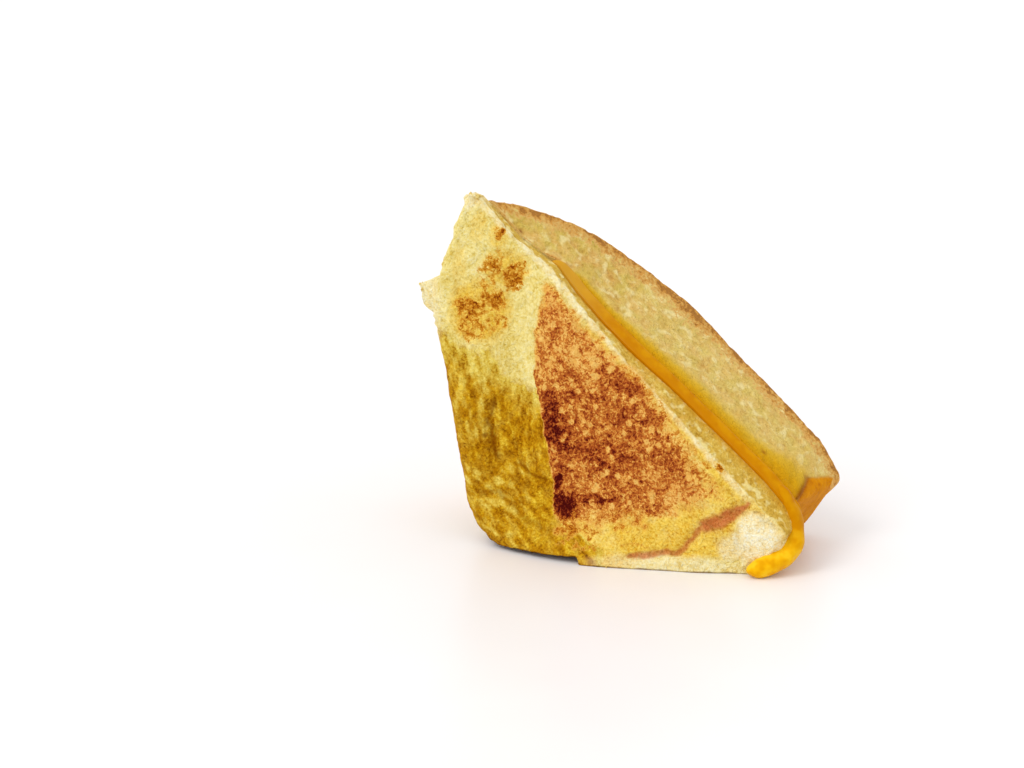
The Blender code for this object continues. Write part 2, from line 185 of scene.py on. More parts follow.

# The crease at the low tip, and the small pits in the crumb with their centre and size: both darkened with
# painted shade
TIP_CREASE = [(39.9, 14.5, 17.1), (39.5, 18.0, 17.9), (39.1, 21.6, 18.6), (38.6, 25.6, 19.8)]
CRUMB_PITS = [
    ((29.3, 18.0, 27.8), 0.8), ((-34.8, 9.6, 81.8), 0.6), ((34.4, 24.9, 23.7), 0.45),
    ((35.9, 26.2, 22.5), 0.5), ((33.7, 18.7, 23.6), 0.4),
]

# Crumbs at the top end and on the torn point: middle, reach and number
CRUMB_CLUSTERS = [((-45.6, 4.6, 91.0), (1.8, 1.5, 0.3), 34), ((-60.0, 5.6, 65.4), (2.0, 0.9, 1.2), 40)]
FLAKE_ROWS, FLAKE_AROUND = 7, 9

# Rows of display colours from dark to light; rows called STEPS are distances from a user's colour
PALE_STEPS = [(-34, -50, -73), (-10, -16, -30), (0, 0, 0), (7, 11, 21), (12, 22, 50)]
SOAKED_AND_SHADED_STEPS = [(-70, -66, -12), (-26, -28, -8), (0, 0, 0), (22, 30, 18), (46, 66, 52)]
LEAFY = [(162, 108, 14), (202, 158, 38), (220, 186, 68), (234, 208, 94), (244, 226, 124)]
GOLD = [(196, 124, 22), (224, 170, 44), (240, 200, 78), (248, 214, 96), (254, 226, 120)]
WHITE_CRUMB = [(246, 214, 140), (253, 233, 176), (255, 246, 208), (255, 252, 232)]
PEACH = [(222, 154, 70), (234, 175, 88), (243, 192, 106), (250, 208, 128)]
KNIFE = [(182, 134, 38), (210, 167, 65), (223, 186, 84), (245, 220, 132)]
SCORCHED = [(158, 70, 34), (186, 98, 48), (204, 118, 64), (222, 148, 84)]
# Painted shadow under the raised foot and along the ground, on an underside that is browned too
UNDERSIDE_SHADOW = [(70, 28, 8), (118, 58, 16)]
CRUMB_STEPS = [(-34, -42, -40), (-12, -14, -18), (0, 0, 0), (18, 26, 44)]
BEIGE = [(200, 148, 74), (216, 172, 90), (224, 186, 108), (238, 212, 144)]
FAIR = [(206, 172, 88), (222, 194, 114), (230, 206, 132), (244, 226, 164)]
LOW_CRUST = [(188, 110, 0), (206, 130, 0), (214, 140, 4), (226, 160, 24)]
GRIDDLED_CRUST = [(206, 140, 34), (226, 172, 62), (238, 196, 88), (246, 212, 112)]
SIDE_CRUST = [(184, 112, 26), (204, 136, 40), (218, 158, 60), (234, 182, 90)]
AMBER = [(0.10, (221, 187, 86)), (0.35, (218, 176, 52)), (0.65, (214, 162, 24)), (0.95, (208, 146, 8))]
RIND = [(228, 192, 118), (219, 173, 96), (206, 148, 70), (190, 130, 58), (172, 118, 56)]
ROSY_BROWNS = [
    (247, 204, 118), (235, 174, 86), (217, 143, 60), (197, 112, 44), (173, 86, 34), (143, 58, 22),
    (106, 26, 14), (76, 8, 8),
]
GOLDEN_BROWNS = [
    (238, 192, 92), (228, 172, 66), (214, 148, 44), (197, 122, 26), (170, 92, 12), (136, 60, 8),
    (100, 34, 6), (70, 16, 4),
]
SHEET_STEPS = [(-6, -9, -1), (0, 0, 0), (6, 9, 3)]
RUN_STEPS = [(-11, -18, -6), (0, 0, 0), (9, 18, 18)]
FLAKE_STEPS = [(-14, -22, -32), (0, 0, 0), (12, 20, 38)]
FLOOR_STEPS = [(0, 0, 0), (3, 3, 3)]
BREAD_SHEEN = {"Specular IOR Level": 0.05, "Specular Tint": (1.0, 0.72, 0.34, 1.0)}
CHEESE_SHEEN = {"Specular IOR Level": 0.13, "Specular Tint": (1.0, 0.66, 0.12, 1.0)}


# Numbers


def ramp(value, low, high):
    """Smooth step from 0 at low to 1 at high."""
    part = np.clip((value - low) / (high - low), 0.0, 1.0)
    return part * part * (3.0 - 2.0 * part)


def fall(value, low, high):
    """Smooth step from 1 at low to 0 at high."""
    return 1.0 - ramp(value, low, high)


def hump(value, centre, width):
    """Bell curve of height 1."""
    return np.exp(-((value - centre) / width) ** 2)


def scatter(cells, seed):
    """A number from 0 to 1 for each whole-number cell: products with large odd numbers, mixed by shifts."""
    mixed = cells[..., 0] * 73856093 ^ cells[..., 1] * 19349663 ^ cells[..., 2] * 83492791
    mixed = (mixed ^ (seed * 2654435761)) & 0xFFFFFFFF
    mixed = ((mixed ^ (mixed >> 13)) * 1274126177) & 0xFFFFFFFF
    mixed ^= mixed >> 16
    return (mixed & 0xFFFFFF) / float(0xFFFFFF)


def swell(points, size, seed):
    """Soft noise from -1 to 1: random corner values of cubes of the given size, blended smoothly."""
    scaled = points / size
    cell = np.floor(scaled).astype(np.int64)
    part = scaled - cell
    part = part * part * (3.0 - 2.0 * part)
    total = np.zeros(points.shape[:-1])
    for corner in np.ndindex(2, 2, 2):
        weight = np.ones(points.shape[:-1])
        for axis in range(3):
            weight *= part[..., axis] if corner[axis] else 1.0 - part[..., axis]
        total += weight * scatter(cell + np.array(corner), seed)
    return 2.0 * total - 1.0


def drawn_out(flat, turn, length, width, seed):
    """Soft noise over points (x, z), stretched along a direction given in degrees, with a finer layer."""
    angle = np.radians(turn)
    along, across = flat @ (np.cos(angle), np.sin(angle)), flat @ (-np.sin(angle), np.cos(angle))
    stretched = np.stack([along / length, across / width, 0.0 * along], axis=-1)
    return 0.65 * swell(stretched, 1.0, seed) + 0.35 * swell(2.1 * stretched, 1.0, seed + 1)


def nearest_pore(points, size, seed):
    """Distance to the nearest of one random point per cube, in parts of the cube's size."""
    scaled = points / size
    cell = np.floor(scaled).astype(np.int64)
    nearest = np.full(points.shape[:-1], 9.0)
    for step in np.ndindex(3, 3, 3):
        other = cell + np.array(step) - 1
        centre = np.stack([scatter(other, seed + axis) for axis in range(3)], axis=-1)
        nearest = np.minimum(nearest, np.linalg.norm(other + centre - scaled, axis=-1))
    return nearest


def wander(rings, amount, size, seed):
    """Points (x, z) of rings, moved by soft noise so that what is drawn with them has ragged edges."""
    shift = np.stack([swell(rings, size, seed), swell(rings, size, seed + 1)], axis=-1)
    return rings[..., [0, 2]] + amount * shift


def line_distance(points, line):
    """Distance of points, in the plane or in space, from a line of points: that from its nearest piece."""
    nearest = np.full(points.shape[:-1], np.inf)
    line = np.array(line)
    for start, end in zip(line[:-1], line[1:]):
        step = end - start
        part = np.clip((points - start) @ step / (step @ step), 0.0, 1.0)
        nearest = np.minimum(nearest, np.linalg.norm(points - start - part[..., None] * step, axis=-1))
    return nearest


def blots(flat, table):
    """The strongest of a set of oval blots, each a soft disc of its own strength."""
    strongest = np.zeros(flat.shape[:-1])
    for centre, half, strength in table:
        away = np.linalg.norm((flat - np.array(centre)) / np.array(half), axis=-1)
        strongest = np.maximum(strongest, strength * fall(away, 0.55, 1.25))
    return strongest


# Outlines and the forms of the pieces


def rounded_outline(corners, arc_points=14):
    """Closed polygon with each corner replaced by an arc of its own radius."""
    places = np.array([place for place, _ in corners])
    pieces = []
    for index, (_, radius) in enumerate(corners):
        corner = places[index]
        before = places[index - 1] - corner
        after = places[(index + 1) % len(places)] - corner
        before /= np.linalg.norm(before)
        after /= np.linalg.norm(after)
        half = np.arccos(np.clip(before @ after, -1.0, 1.0)) / 2.0
        middle = (before + after) / np.linalg.norm(before + after)
        centre = corner + middle * radius / np.sin(half)
        start = corner + before * radius / np.tan(half) - centre
        end = corner + after * radius / np.tan(half) - centre
        angle = np.arctan2(start[1], start[0])
        sweep = (np.arctan2(end[1], end[0]) - angle + np.pi) % (2.0 * np.pi) - np.pi
        turn = angle + sweep * np.linspace(0.0, 1.0, arc_points)
        pieces.append(centre + radius * np.stack([np.cos(turn), np.sin(turn)], axis=1))
    return np.concatenate(pieces)


def spaced(path, count, crowding=1.0):
    """The closed path as count points, closer together by the crowding factor on the cut side."""
    loop = np.vstack([path, path[:1]])
    middle = (loop[1:] + loop[:-1]) / 2.0
    weight = 1.0 + (crowding - 1.0) * ramp(-inside_cut(middle), -2.5, -0.5)
    fine = np.linalg.norm(np.diff(loop, axis=0), axis=1) * weight
    length = np.concatenate([[0.0], np.cumsum(fine)])
    steps = np.linspace(0.0, length[-1], count, endpoint=False)
    return np.stack([np.interp(steps, length, loop[:, axis]) for axis in (0, 1)], axis=1)


def down_cut(flat):
    """Place along the cut of points (x, z)."""
    return flat @ ALONG


def inside_cut(flat):
    """Depth of points (x, z) behind the plain cut."""
    return CUT_AT - flat @ OUTWARD


def seam(flat):
    """y of the middle of the filling: level, with smooth steps back at the low end, forward at the top."""
    place = down_cut(flat)
    low_end, top_end = ramp(place, -40.0, 20.0), ramp(-place, 62.0, 92.0)
    return SEAM_DEPTH + 1.5 * low_end - 2.6 * top_end - 1.4 * ramp(-place, 68.0, 78.0)


def filling(flat):
    """Room between the slices: cheese over the lower part, almost none at the top end."""
    open_end = 0.75 + 0.25 * ramp(inside_cut(flat), 8.0, 0.0)
    return BARE_GAP + CHEESE_THICK * ramp(down_cut(flat), -74.0, -64.0) * open_end


def griddled_face(flat):
    """y of the front of the sandwich: smooth steps forward away from the cut, a step back at the torn
    low end, a bell across x for the groove and one for the full belly, and a bell across each crease."""
    inside = inside_cut(flat)
    x, z = flat[..., 0], flat[..., 1]
    face = 4.5 - 3.5 * ramp(inside, 0.0, 9.0) - 4.5 * ramp(inside, 4.0, 55.0)
    face -= 1.5 * ramp(-down_cut(flat), 70.0, 95.0)
    face += 3.6 * hump(x, -33.0, 7.5) * ramp(z, 8.0, 26.0) * ramp(-z, -84.0, -66.0)
    face += 3.2 * ramp(x, 16.0, 34.0) * ramp(-z, -14.0, 0.0)
    face -= 5.3 * hump(x, -13.0, 24.0) * ramp(-z, -13.0, -1.0)
    for points, depth, width in CREASES:
        face += depth * hump(line_distance(flat, points), 0.0, width)
    return face


def front_inner(flat):
    """y of the filling side of the front slice, a little further back along the lower cut."""
    thicker = SEAM_SHIFT * ramp(down_cut(flat), -48.0, -26.0) * ramp(-inside_cut(flat), -14.0, -4.0)
    return seam(flat) - filling(flat) / 2.0 + thicker


def back_inner(flat):
    """y of the filling side of the back slice."""
    return seam(flat) + filling(flat) / 2.0


def back_face(flat):
    """y of the back of the sandwich: level, less a power of the way to the top end that is strongest at
    the cut."""
    end = np.clip((-26.0 - down_cut(flat)) / 67.0, 0.0, 1.1)
    depth = np.clip(inside_cut(flat), 0.0, None)
    return BACK_THICK - BACK_TAPER * end ** 2.3 * (0.45 + 0.55 * np.exp(-depth / 22.0))


def slab(path, middle, faces, rounds, counts):
    """Closed slab between two faces over an outline, and how far round each of its rings lies.

    Rings run from round the middle of the front face out to its rounded edge, across the rim
    and back to the middle of the back face, with none shrunk to a point there.  The second
    result is 0 on the front face, 1 to 2 across the rim and 3 on the back face.
    """
    front, back = faces
    on_front, on_edge, on_rim, on_far_edge, on_back = counts
    ray = path - np.array(middle)
    length = np.linalg.norm(ray, axis=1)
    ray /= length[:, None]
    room = np.maximum(back(path) - front(path), 0.8)
    near = np.minimum(rounds[0], room * 0.4)
    far = np.minimum(rounds[1], room * 0.4)
    rings, around = [], []

    def ring(stage, inset, from_front, from_back):
        flat = path - ray * inset[:, None]
        depth = front(flat) + from_front if from_back is None else back(flat) - from_back
        rings.append(np.stack([flat[:, 0], depth, flat[:, 1]], axis=1))
        around.append(stage)

    nothing = np.zeros(len(path))
    for part in np.linspace(0.0, 1.0, on_front, endpoint=False)[1:] ** 0.8:
        ring(0.0, length - part * (length - near), nothing, None)
    for turn in np.linspace(0.0, np.pi / 2.0, on_edge, endpoint=False):
        ring(turn * 2.0 / np.pi, near * (1.0 - np.sin(turn)), near * (1.0 - np.cos(turn)), None)
    ring(1.0, nothing, near, None)
    ring(2.0, nothing, None, far)
    start, end = rings.pop(-2), rings.pop()
    del around[-2:]
    for part in np.linspace(0.0, 1.0, on_rim):
        rings.append(start + part * (end - start))
        around.append(1.0 + part)
    for turn in np.linspace(np.pi / 2.0, 0.0, on_far_edge + 1)[1:]:
        ring(3.0 - turn * 2.0 / np.pi, far * (1.0 - np.sin(turn)), None, far * (1.0 - np.cos(turn)))
    for part in np.linspace(0.0, 1.0, on_back, endpoint=False)[:0:-1] ** 0.8:
        ring(3.0, length - part * (length - far), None, nothing)
    return np.array(rings), np.array(around)


def cut_reach(depth, place):
    """Distance of the cut face from the working origin, by depth and place along the cut."""
    rows = [np.interp(place, CUT_PLACES, row) for row in CUT_REACH]
    reach = rows[0].copy()
    for index in range(1, len(rows)):
        low, high = CUT_DEPTHS[index - 1], CUT_DEPTHS[index]
        reach += np.clip((depth - low) / (high - low), 0.0, 1.0) * (rows[index] - rows[index - 1])
    return reach


def lean(points):
    """Lean the cut side outwards towards the back, and the low end with it: shifts in the plane of the
    slices that fade exponentially away from the cut and from the low end."""
    flat = points[..., [0, 2]]
    depth = points[..., 1]
    place = down_cut(flat)
    near_cut = np.exp(-np.clip(inside_cut(flat), 0.0, None) / CUT_FADE)
    near_tip = np.exp(-np.clip(18.0 - place, 0.0, None) / 9.0)
    shift = ((cut_reach(depth, place) - CUT_AT) * near_cut)[..., None] * OUTWARD
    shift += (TIP_LEAN * np.clip(depth - TIP_FROM, 0.0, None) * near_tip)[..., None] * ALONG
    moved = points.copy()
    moved[..., 0] += shift[..., 0]
    moved[..., 2] += shift[..., 1]
    return moved


def rest(points):
    """Flatten whatever would go below the ground."""
    settled = points.copy()
    settled[..., 2] = np.maximum(settled[..., 2], 0.0)
    return settled


def torn_flap(points, reach):
    """Pull the back of the left side of the front slice out to a torn point, short above and long below:
    the reach times a power of the nearness in height."""
    x, y, z = points[..., 0], points[..., 1], points[..., 2]
    where = ramp(-x, 45.0, 53.0) * ramp(y, 0.0, 8.0)
    above = np.clip((z - FLAP_HEIGHT) / FLAP_ABOVE, 0.0, 1.0)
    below = np.clip((FLAP_HEIGHT - z) / FLAP_BELOW, 0.0, 1.0)
    moved = points.copy()
    moved[..., 0] -= reach * where * (1.0 - np.maximum(above, below)) ** 1.3
    return moved


def ring_normals(rings):
    """Steps along and round a stack of closed rings, crossed, and the sign that turns them outwards.

    The sign is that of the sum of each normal times its point's distance from the middle.
    """
    along = np.gradient(rings, axis=0)
    normal = np.cross(along, np.roll(rings, -1, axis=1) - np.roll(rings, 1, axis=1))
    return normal, np.sign(np.sum(normal * (rings - rings.reshape(-1, 3).mean(axis=0))))


def outward(rings):
    """Unit normals of a stack of closed rings."""
    normal, sign = ring_normals(rings)
    return sign * normal / (np.linalg.norm(normal, axis=-1, keepdims=True) + 1e-9)


# Meshes


def closed_mesh(stacks):
    """Points and outward faces of closed surfaces, each through a stack of rings with a point at each
    end."""
    points, faces, offset = [], [], 0
    for rings in stacks:
        count, around = rings.shape[:2]
        grid = offset + np.arange(count * around).reshape(count, around)
        turned = np.roll(grid, -1, axis=1)
        first = np.full(around, offset + count * around)
        quads = np.stack([grid[:-1], grid[1:], turned[1:], turned[:-1]], axis=-1).reshape(-1, 4)
        caps = np.concatenate([np.stack([first, grid[0], turned[0]], axis=1),
                               np.stack([first + 1, turned[-1], grid[-1]], axis=1)])
        if ring_normals(rings)[1] < 0.0:
            quads, caps = quads[:, [0, 3, 2, 1]], caps[:, [0, 2, 1]]
        points += [rings.reshape(-1, 3), rings[0].mean(axis=0)[None], rings[-1].mean(axis=0)[None]]
        faces += quads.tolist() + caps.tolist()
        offset += count * around + 2
    return np.concatenate(points), faces


def with_poles(values, rings):
    """Values over one stack of rings, continued to the points at its ends."""
    values = np.broadcast_to(values, rings.shape[:2])
    return np.concatenate([values.ravel(), [values[0].mean(), values[-1].mean()]])


def add_object(name, data):
    """A new object at the origin."""
    thing = bpy.data.objects.new(name, data)
    bpy.context.scene.collection.objects.link(thing)
    return thing


def add_piece(name, stacks, node_name, material, masks):
    """A piece in the part's frame from rings in working millimetres, riding on the part, with each
    mask's values for every stack in turn."""
    points, faces = closed_mesh(stacks)
    mesh = bpy.data.meshes.new(name)
    mesh.from_pydata(((points - WORK_ORIGIN) * MM).tolist(), [], faces)
    for label, parts in masks.items():
        values = np.concatenate([with_poles(part, rings) for part, rings in zip(parts, stacks)])
        mesh.attributes.new(label, "FLOAT", "POINT").data.foreach_set("value", values)
    mesh.shade_smooth()
    mesh.materials.append(material)
    piece = add_object(name, mesh)
    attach(piece, "root")
    if node_name:
        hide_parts(node_name)


# Shaders


def srgb(red, green, blue):
    """Linear colour of a display colour given from 0 to 255."""
    parts = np.array([red, green, blue]) / 255.0
    linear = np.where(parts <= 0.04045, parts / 12.92, ((parts + 0.055) / 1.055) ** 2.4)
    return (*linear.tolist(), 1.0)


def tones(colour, steps):
    """Display colours from 0 to 255 at the given distances from a user's colour."""
    return np.clip(255.0 * np.array(colour) + np.array(steps), 0.0, 255.0)


class Signal:
    """One socket of a material, with arithmetic that adds Math nodes."""

    def __init__(self, paint, socket):
        self.paint = paint
        self.socket = socket

    def math(self, operation, *values):
        return self.paint.node("ShaderNodeMath", {"operation": operation}, dict(enumerate(values)))

    def __add__(self, other):
        return self.math("ADD", self, other)

    def __radd__(self, other):
        return self.math("ADD", other, self)

    def __sub__(self, other):
        return self.math("SUBTRACT", self, other)

    def __rsub__(self, other):
        return self.math("SUBTRACT", other, self)

    def __mul__(self, other):
        return self.math("MULTIPLY", self, other)

    def __rmul__(self, other):
        return self.math("MULTIPLY", other, self)

    def least(self, other):
        return self.math("MINIMUM", self, other)

    def step(self, low, high):
        """Smooth step from 0 at low to 1 at high."""
        return self.paint.node(
            "ShaderNodeMapRange", {"interpolation_type": "SMOOTHSTEP"},
            {"Value": self, "From Min": low, "From Max": high})


class Paint:
    """A material under construction."""

    def __init__(self, name, roughness, constants):
        self.material = bpy.data.materials.new(name)
        self.material.use_nodes = True
        self.tree = self.material.node_tree
        self.shader = self.tree.nodes["Principled BSDF"]
        self.shader.inputs["Roughness"].default_value = roughness
        for label, value in constants.items():
            self.shader.inputs[label].default_value = value
        self.place = self.node("ShaderNodeTexCoord", {}, {}, "Object")

    def node(self, kind, settings, values, output=0):
        """Add a node: settings first, then the values or links of its sockets."""
        node = self.tree.nodes.new(kind)
        for label, value in settings.items():
            if label == "stops":
                self.set_stops(node.color_ramp, value)
            else:
                setattr(node, label, value)
        for key, value in values.items():
            if isinstance(value, Signal):
                self.tree.links.new(value.socket, node.inputs[key])
            else:
                node.inputs[key].default_value = value
        return Signal(self, node.outputs[output])

    def set_stops(self, ramp_data, stops):
        while len(ramp_data.elements) < len(stops):
            ramp_data.elements.new(0.5)
        for element, (position, colour) in zip(ramp_data.elements, stops):
            element.position = position
            element.color = colour

    def mask(self, label):
        """A value stored on the mesh."""
        return self.node("ShaderNodeAttribute", {"attribute_name": label}, {}, "Fac")

    def noise(self, size, detail=3.0, roughness=0.55, distortion=0.0):
        """Cloudy noise from 0 to 1 with features of about the given size in millimetres."""
        return self.node(
            "ShaderNodeTexNoise", {},
            {"Vector": self.place, "Scale": 1.0 / (size * MM), "Detail": detail,
             "Roughness": roughness, "Distortion": distortion}, "Fac")

    def cells(self, size):
        """Distance to scattered points of about the given spacing in millimetres."""
        return self.node("ShaderNodeTexVoronoi", {},
                         {"Vector": self.place, "Scale": 1.0 / (size * MM)}, "Distance")

    def ramp(self, value, stops):
        return self.node("ShaderNodeValToRGB", {"stops": stops}, {"Fac": value})

    def shades(self, value, colours, low=0.2, high=0.8):
        """Colours, given from 0 to 255, spread evenly over a range of a value."""
        places = np.linspace(low, high, len(colours))
        return self.ramp(value, [(float(place), srgb(*colour)) for place, colour in zip(places, colours)])

    def spread(self, value, gain):
        """Stronger contrast about one half."""
        return (value - 0.5) * gain + 0.5

    def mix(self, factor, first, second):
        """Colours or vectors blended from first to second."""
        return self.node("ShaderNodeMix", {"data_type": "RGBA"}, {0: factor, 6: first, 7: second}, 2)

    def finish(self, colour, roughness, height, distance):
        """Wire colour, roughness and bump height over a distance in metres to the shader."""
        self.tree.links.new(colour.socket, self.shader.inputs["Base Color"])
        self.tree.links.new(roughness.socket, self.shader.inputs["Roughness"])
        bump = self.node("ShaderNodeBump", {}, {"Height": height, "Distance": distance}, "Normal")
        self.tree.links.new(bump.socket, self.shader.inputs["Normal"])
        return self.material


def browned(paint, base, toast, rosy):
    """Griddle browning over a base colour.

    The level is the stored browning plus fine, strong grain, middling clouds and pale dots; it is
    read off two rows of browns, reddish and golden, and covers the base where it passes a threshold.
    """
    fine = paint.spread(paint.noise(0.74, 2.0, 0.6, 0.9), 2.8)
    middling = paint.spread(paint.noise(2.4, 2.0, 0.6, 0.5), 2.4)
    dots = 1.0 - paint.cells(3.1).step(0.14, 0.38)
    level = toast + (fine - 0.5) * 0.58 + (middling - 0.5) * 0.42 - dots * 0.38
    golden_tone = paint.shades(level, GOLDEN_BROWNS, 0.12, 1.05)
    tone = paint.mix(rosy, golden_tone, paint.shades(level, ROSY_BROWNS, 0.12, 1.05))
    cover = level.step(0.10, 0.26) * toast.step(0.02, 0.2)
    return paint.mix(cover, base, tone), cover


def griddled_bread_material(settings):
    """Buttered crumb of the front slice: lemon pale above, olive amber where butter has soaked in and partly
    painted shade and orange bounce light, golden round the browned patches, almost white where it is torn,
    with a whitish cut edge that is partly painted highlight, and browned in patches, with painted shade in
    the creases and painted shadow under the foot."""
    paint = Paint("griddled bread", 0.6, BREAD_SHEEN)
    grain = paint.spread(paint.noise(0.62, 2.0, 0.6, 0.5), 2.2)
    fluff = paint.spread(paint.noise(1.7, 3.0, 0.6, 0.5), 1.9)
    cloud = paint.spread(paint.noise(6.0, 3.0, 0.55, 0.3), 2.0)
    mottle = grain * 0.42 + fluff * 0.32 + cloud * 0.26
    pale = paint.shades(mottle, tones(settings.buttered, PALE_STEPS))
    greasy = grain * 0.34 + fluff * 0.32 + paint.mask("swirl") * 0.34
    olive = paint.shades(greasy, tones(settings.soaked, SOAKED_AND_SHADED_STEPS))
    leafy = paint.shades(greasy, LEAFY, 0.22, 0.78)
    gold = paint.shades(mottle, GOLD)
    white = paint.shades(mottle, WHITE_CRUMB)
    peach = paint.shades(mottle, PEACH)
    knife = paint.shades(grain * 0.30 + fluff * 0.45 + cloud * 0.25, KNIFE)
    flecks = paint.spread(paint.noise(2.1, 1.0, 0.5), 3.0).step(0.58, 1.1)
    knife = paint.mix(flecks * 0.8, knife, srgb(248, 230, 156))
    butter, golden = paint.mask("butter"), paint.mask("golden")
    soaked = butter + ((fluff - 0.5) * 0.45 + (cloud - 0.5) * 0.35) * butter.step(0.0, 0.3)
    gilded = (golden + (fluff - 0.5) * 0.5) * golden.step(0.0, 0.2)
    base = paint.mix(gilded.step(0.15, 0.85), pale, gold)
    # Leafy and olive where butter has soaked in: partly the butter's own colour, partly painted shade and
    # orange bounce light; the swirl pattern in them is partly painted highlight on folds
    base = paint.mix(soaked.step(0.08, 0.42), base, leafy)
    base = paint.mix(soaked.step(0.48, 1.08), base, olive)
    # Almost white crumb where torn, and a whitish line along the upper cut edge that is partly painted
    # highlight
    base = paint.mix((paint.mask("white") * (0.8 + 0.4 * fluff)).least(1.0), base, white)
    base = paint.mix(paint.mask("cut"), base, knife)
    base = paint.mix(paint.mask("stain"), base, srgb(208, 148, 30))
    # Painted shade in the creases, and brown specks beside them
    base = paint.mix(paint.mask("groove") * (0.6 + 0.4 * fluff), base, srgb(112, 48, 0))
    base = paint.mix(paint.mask("rosy") * 0.9, base, peach)
    colour, cover = browned(paint, base, paint.mask("toast"), paint.mask("rosy"))
    scorched = paint.shades(fluff * 0.6 + grain * 0.4, SCORCHED)
    colour = paint.mix((paint.mask("bruise") * (0.8 + 0.4 * fluff)).least(1.0), colour, scorched)
    # Painted shadow in dark brown under the raised foot and in a thin line along the ground
    colour = paint.mix(paint.mask("under"), colour, paint.shades(fluff, UNDERSIDE_SHADOW, 0.3, 0.7))
    roughness = 0.72 - 0.12 * cover + 0.1 * grain
    height = grain * 0.45 + fluff * 0.8 + paint.noise(0.4, 1.0) * 0.3
    return paint.finish(colour, roughness, height, settings.bump)


def crumb_bread_material(settings):
    """Open crumb of the back slice, its amber stain beside the cheese, its speckled outer edge, its griddled
    back and its smooth orange crust, with painted shade in the tip crease and the pits, and pale flecks that
    are partly painted highlights."""
    paint = Paint("crumb bread", 0.7, BREAD_SHEEN)
    grain = paint.spread(paint.noise(0.7, 2.0, 0.6, 0.3), 2.2)
    fluff = paint.spread(paint.noise(1.9, 3.0, 0.6, 0.3), 1.9)
    cloud = paint.spread(paint.noise(6.5, 3.0), 2.0)
    mottle = grain * 0.24 + fluff * 0.40 + cloud * 0.36
    beige = paint.shades(mottle, BEIGE)
    greenish = paint.shades(mottle, tones(settings.open_crumb, CRUMB_STEPS))
    crumb = paint.mix(paint.spread(paint.noise(3.6, 1.5), 3.2), beige, greenish)
    crumb = paint.mix(paint.mask("low") * 0.35, crumb, paint.shades(mottle, FAIR))
    # Pale flecks: partly paler crumb, partly painted highlights on the crumb's walls
    flecks = paint.spread(paint.noise(3.0, 1.0, 0.5), 3.0).step(0.62, 1.2)
    crumb = paint.mix(flecks * 0.75, crumb, srgb(242, 224, 160))
    crust = paint.shades(mottle, LOW_CRUST)
    griddled = paint.shades(mottle, GRIDDLED_CRUST)
    side = paint.shades(mottle, SIDE_CRUST)
    crust = paint.mix(paint.mask("low").step(0.25, 0.9), side, crust)
    crust = paint.mix(paint.mask("toast").step(0.1, 0.42), crust, griddled)
    base = paint.mix(paint.mask("cut"), crust, crumb)
    soaked = paint.mask("stain") + (fluff - 0.5) * 0.12
    amber = paint.ramp(soaked, [(place, srgb(*colour)) for place, colour in AMBER])
    base = paint.mix(soaked.step(0.04, 0.42), base, amber)
    speckle = paint.spread(paint.noise(0.9, 2.0, 0.6, 0.4), 2.6) * 0.55
    speckle = speckle + paint.spread(paint.noise(3.2, 2.0, 0.6), 3.0) * 0.45
    rind = paint.mask("edge")
    rind_level = rind + (speckle - 0.5) * 1.15
    rind_cover = rind_level.step(0.22, 0.48) * rind.step(0.02, 0.2)
    base = paint.mix(rind_cover, base, paint.shades(rind_level, RIND, 0.25, 1.5))
    colour, cover = browned(paint, base, paint.mask("toast"), paint.mask("toast") * 0.7)
    # Painted shade in the crease at the low tip and in the small pits of the crumb
    colour = paint.mix(paint.mask("dark"), colour, srgb(138, 54, 4))
    roughness = 0.60 + 0.18 * paint.mask("cut") + 0.06 * grain - 0.05 * cover
    height = (grain * 0.45 + fluff * 0.8 + paint.noise(0.4, 1.0) * 0.3) * (0.2 + 0.8 * paint.mask("cut"))
    return paint.finish(colour, roughness, height + cover * 0.2, settings.bump)


def cheese_material(settings):
    """Melted cheese: deep amber between the slices, darker on the side next to the front slice as painted
    shade, brighter and glossier where it has run out.
    """
    paint = Paint("melted cheese", 0.3, CHEESE_SHEEN)
    thick = paint.mask("thick")
    cloud = paint.spread(paint.noise(4.0, 2.0), 1.8)
    deep = paint.shades(cloud, tones(settings.sheet, SHEET_STEPS), 0.32, 0.68)
    bright = paint.shades(cloud, tones(settings.run, RUN_STEPS), 0.32, 0.68)
    colour = paint.mix(thick, deep, bright)
    # Painted shade on the side of the sheet next to the front slice
    colour = paint.mix(paint.mask("near"), colour, srgb(198, 124, 0))
    colour = paint.mix(paint.mask("faint"), colour, srgb(210, 160, 50))
    roughness = 0.46 - 0.18 * thick + 0.1 * paint.noise(1.5)
    height = paint.noise(2.5, 2.0) * 0.8 + paint.noise(0.6) * 0.06
    return paint.finish(colour, roughness, height, settings.bump)


def flake_material(settings):
    """Torn crumbs and flakes, a little paler than the bread they hang on."""
    paint = Paint("torn crumb", 0.8, BREAD_SHEEN)
    fluff = paint.noise(0.7, 3.0)
    colour = paint.shades(fluff, tones(settings.colour, FLAKE_STEPS), 0.32, 0.68)
    return paint.finish(colour, 0.75 + 0.15 * fluff, fluff, settings.bump)


# The pieces


def crumb_relief(points, depth):
    """Height of the crumb: soft lumps, finer grain and shallow pits round scattered pores."""
    lumps = 0.40 * swell(points, 6.0, 11) + 0.30 * swell(points, 2.6, 12) + 0.16 * swell(points, 1.2, 13)
    pits = ramp(-nearest_pore(points, 2.4, 21), -0.55, -0.12)
    return depth * (lumps - 0.75 * pits)


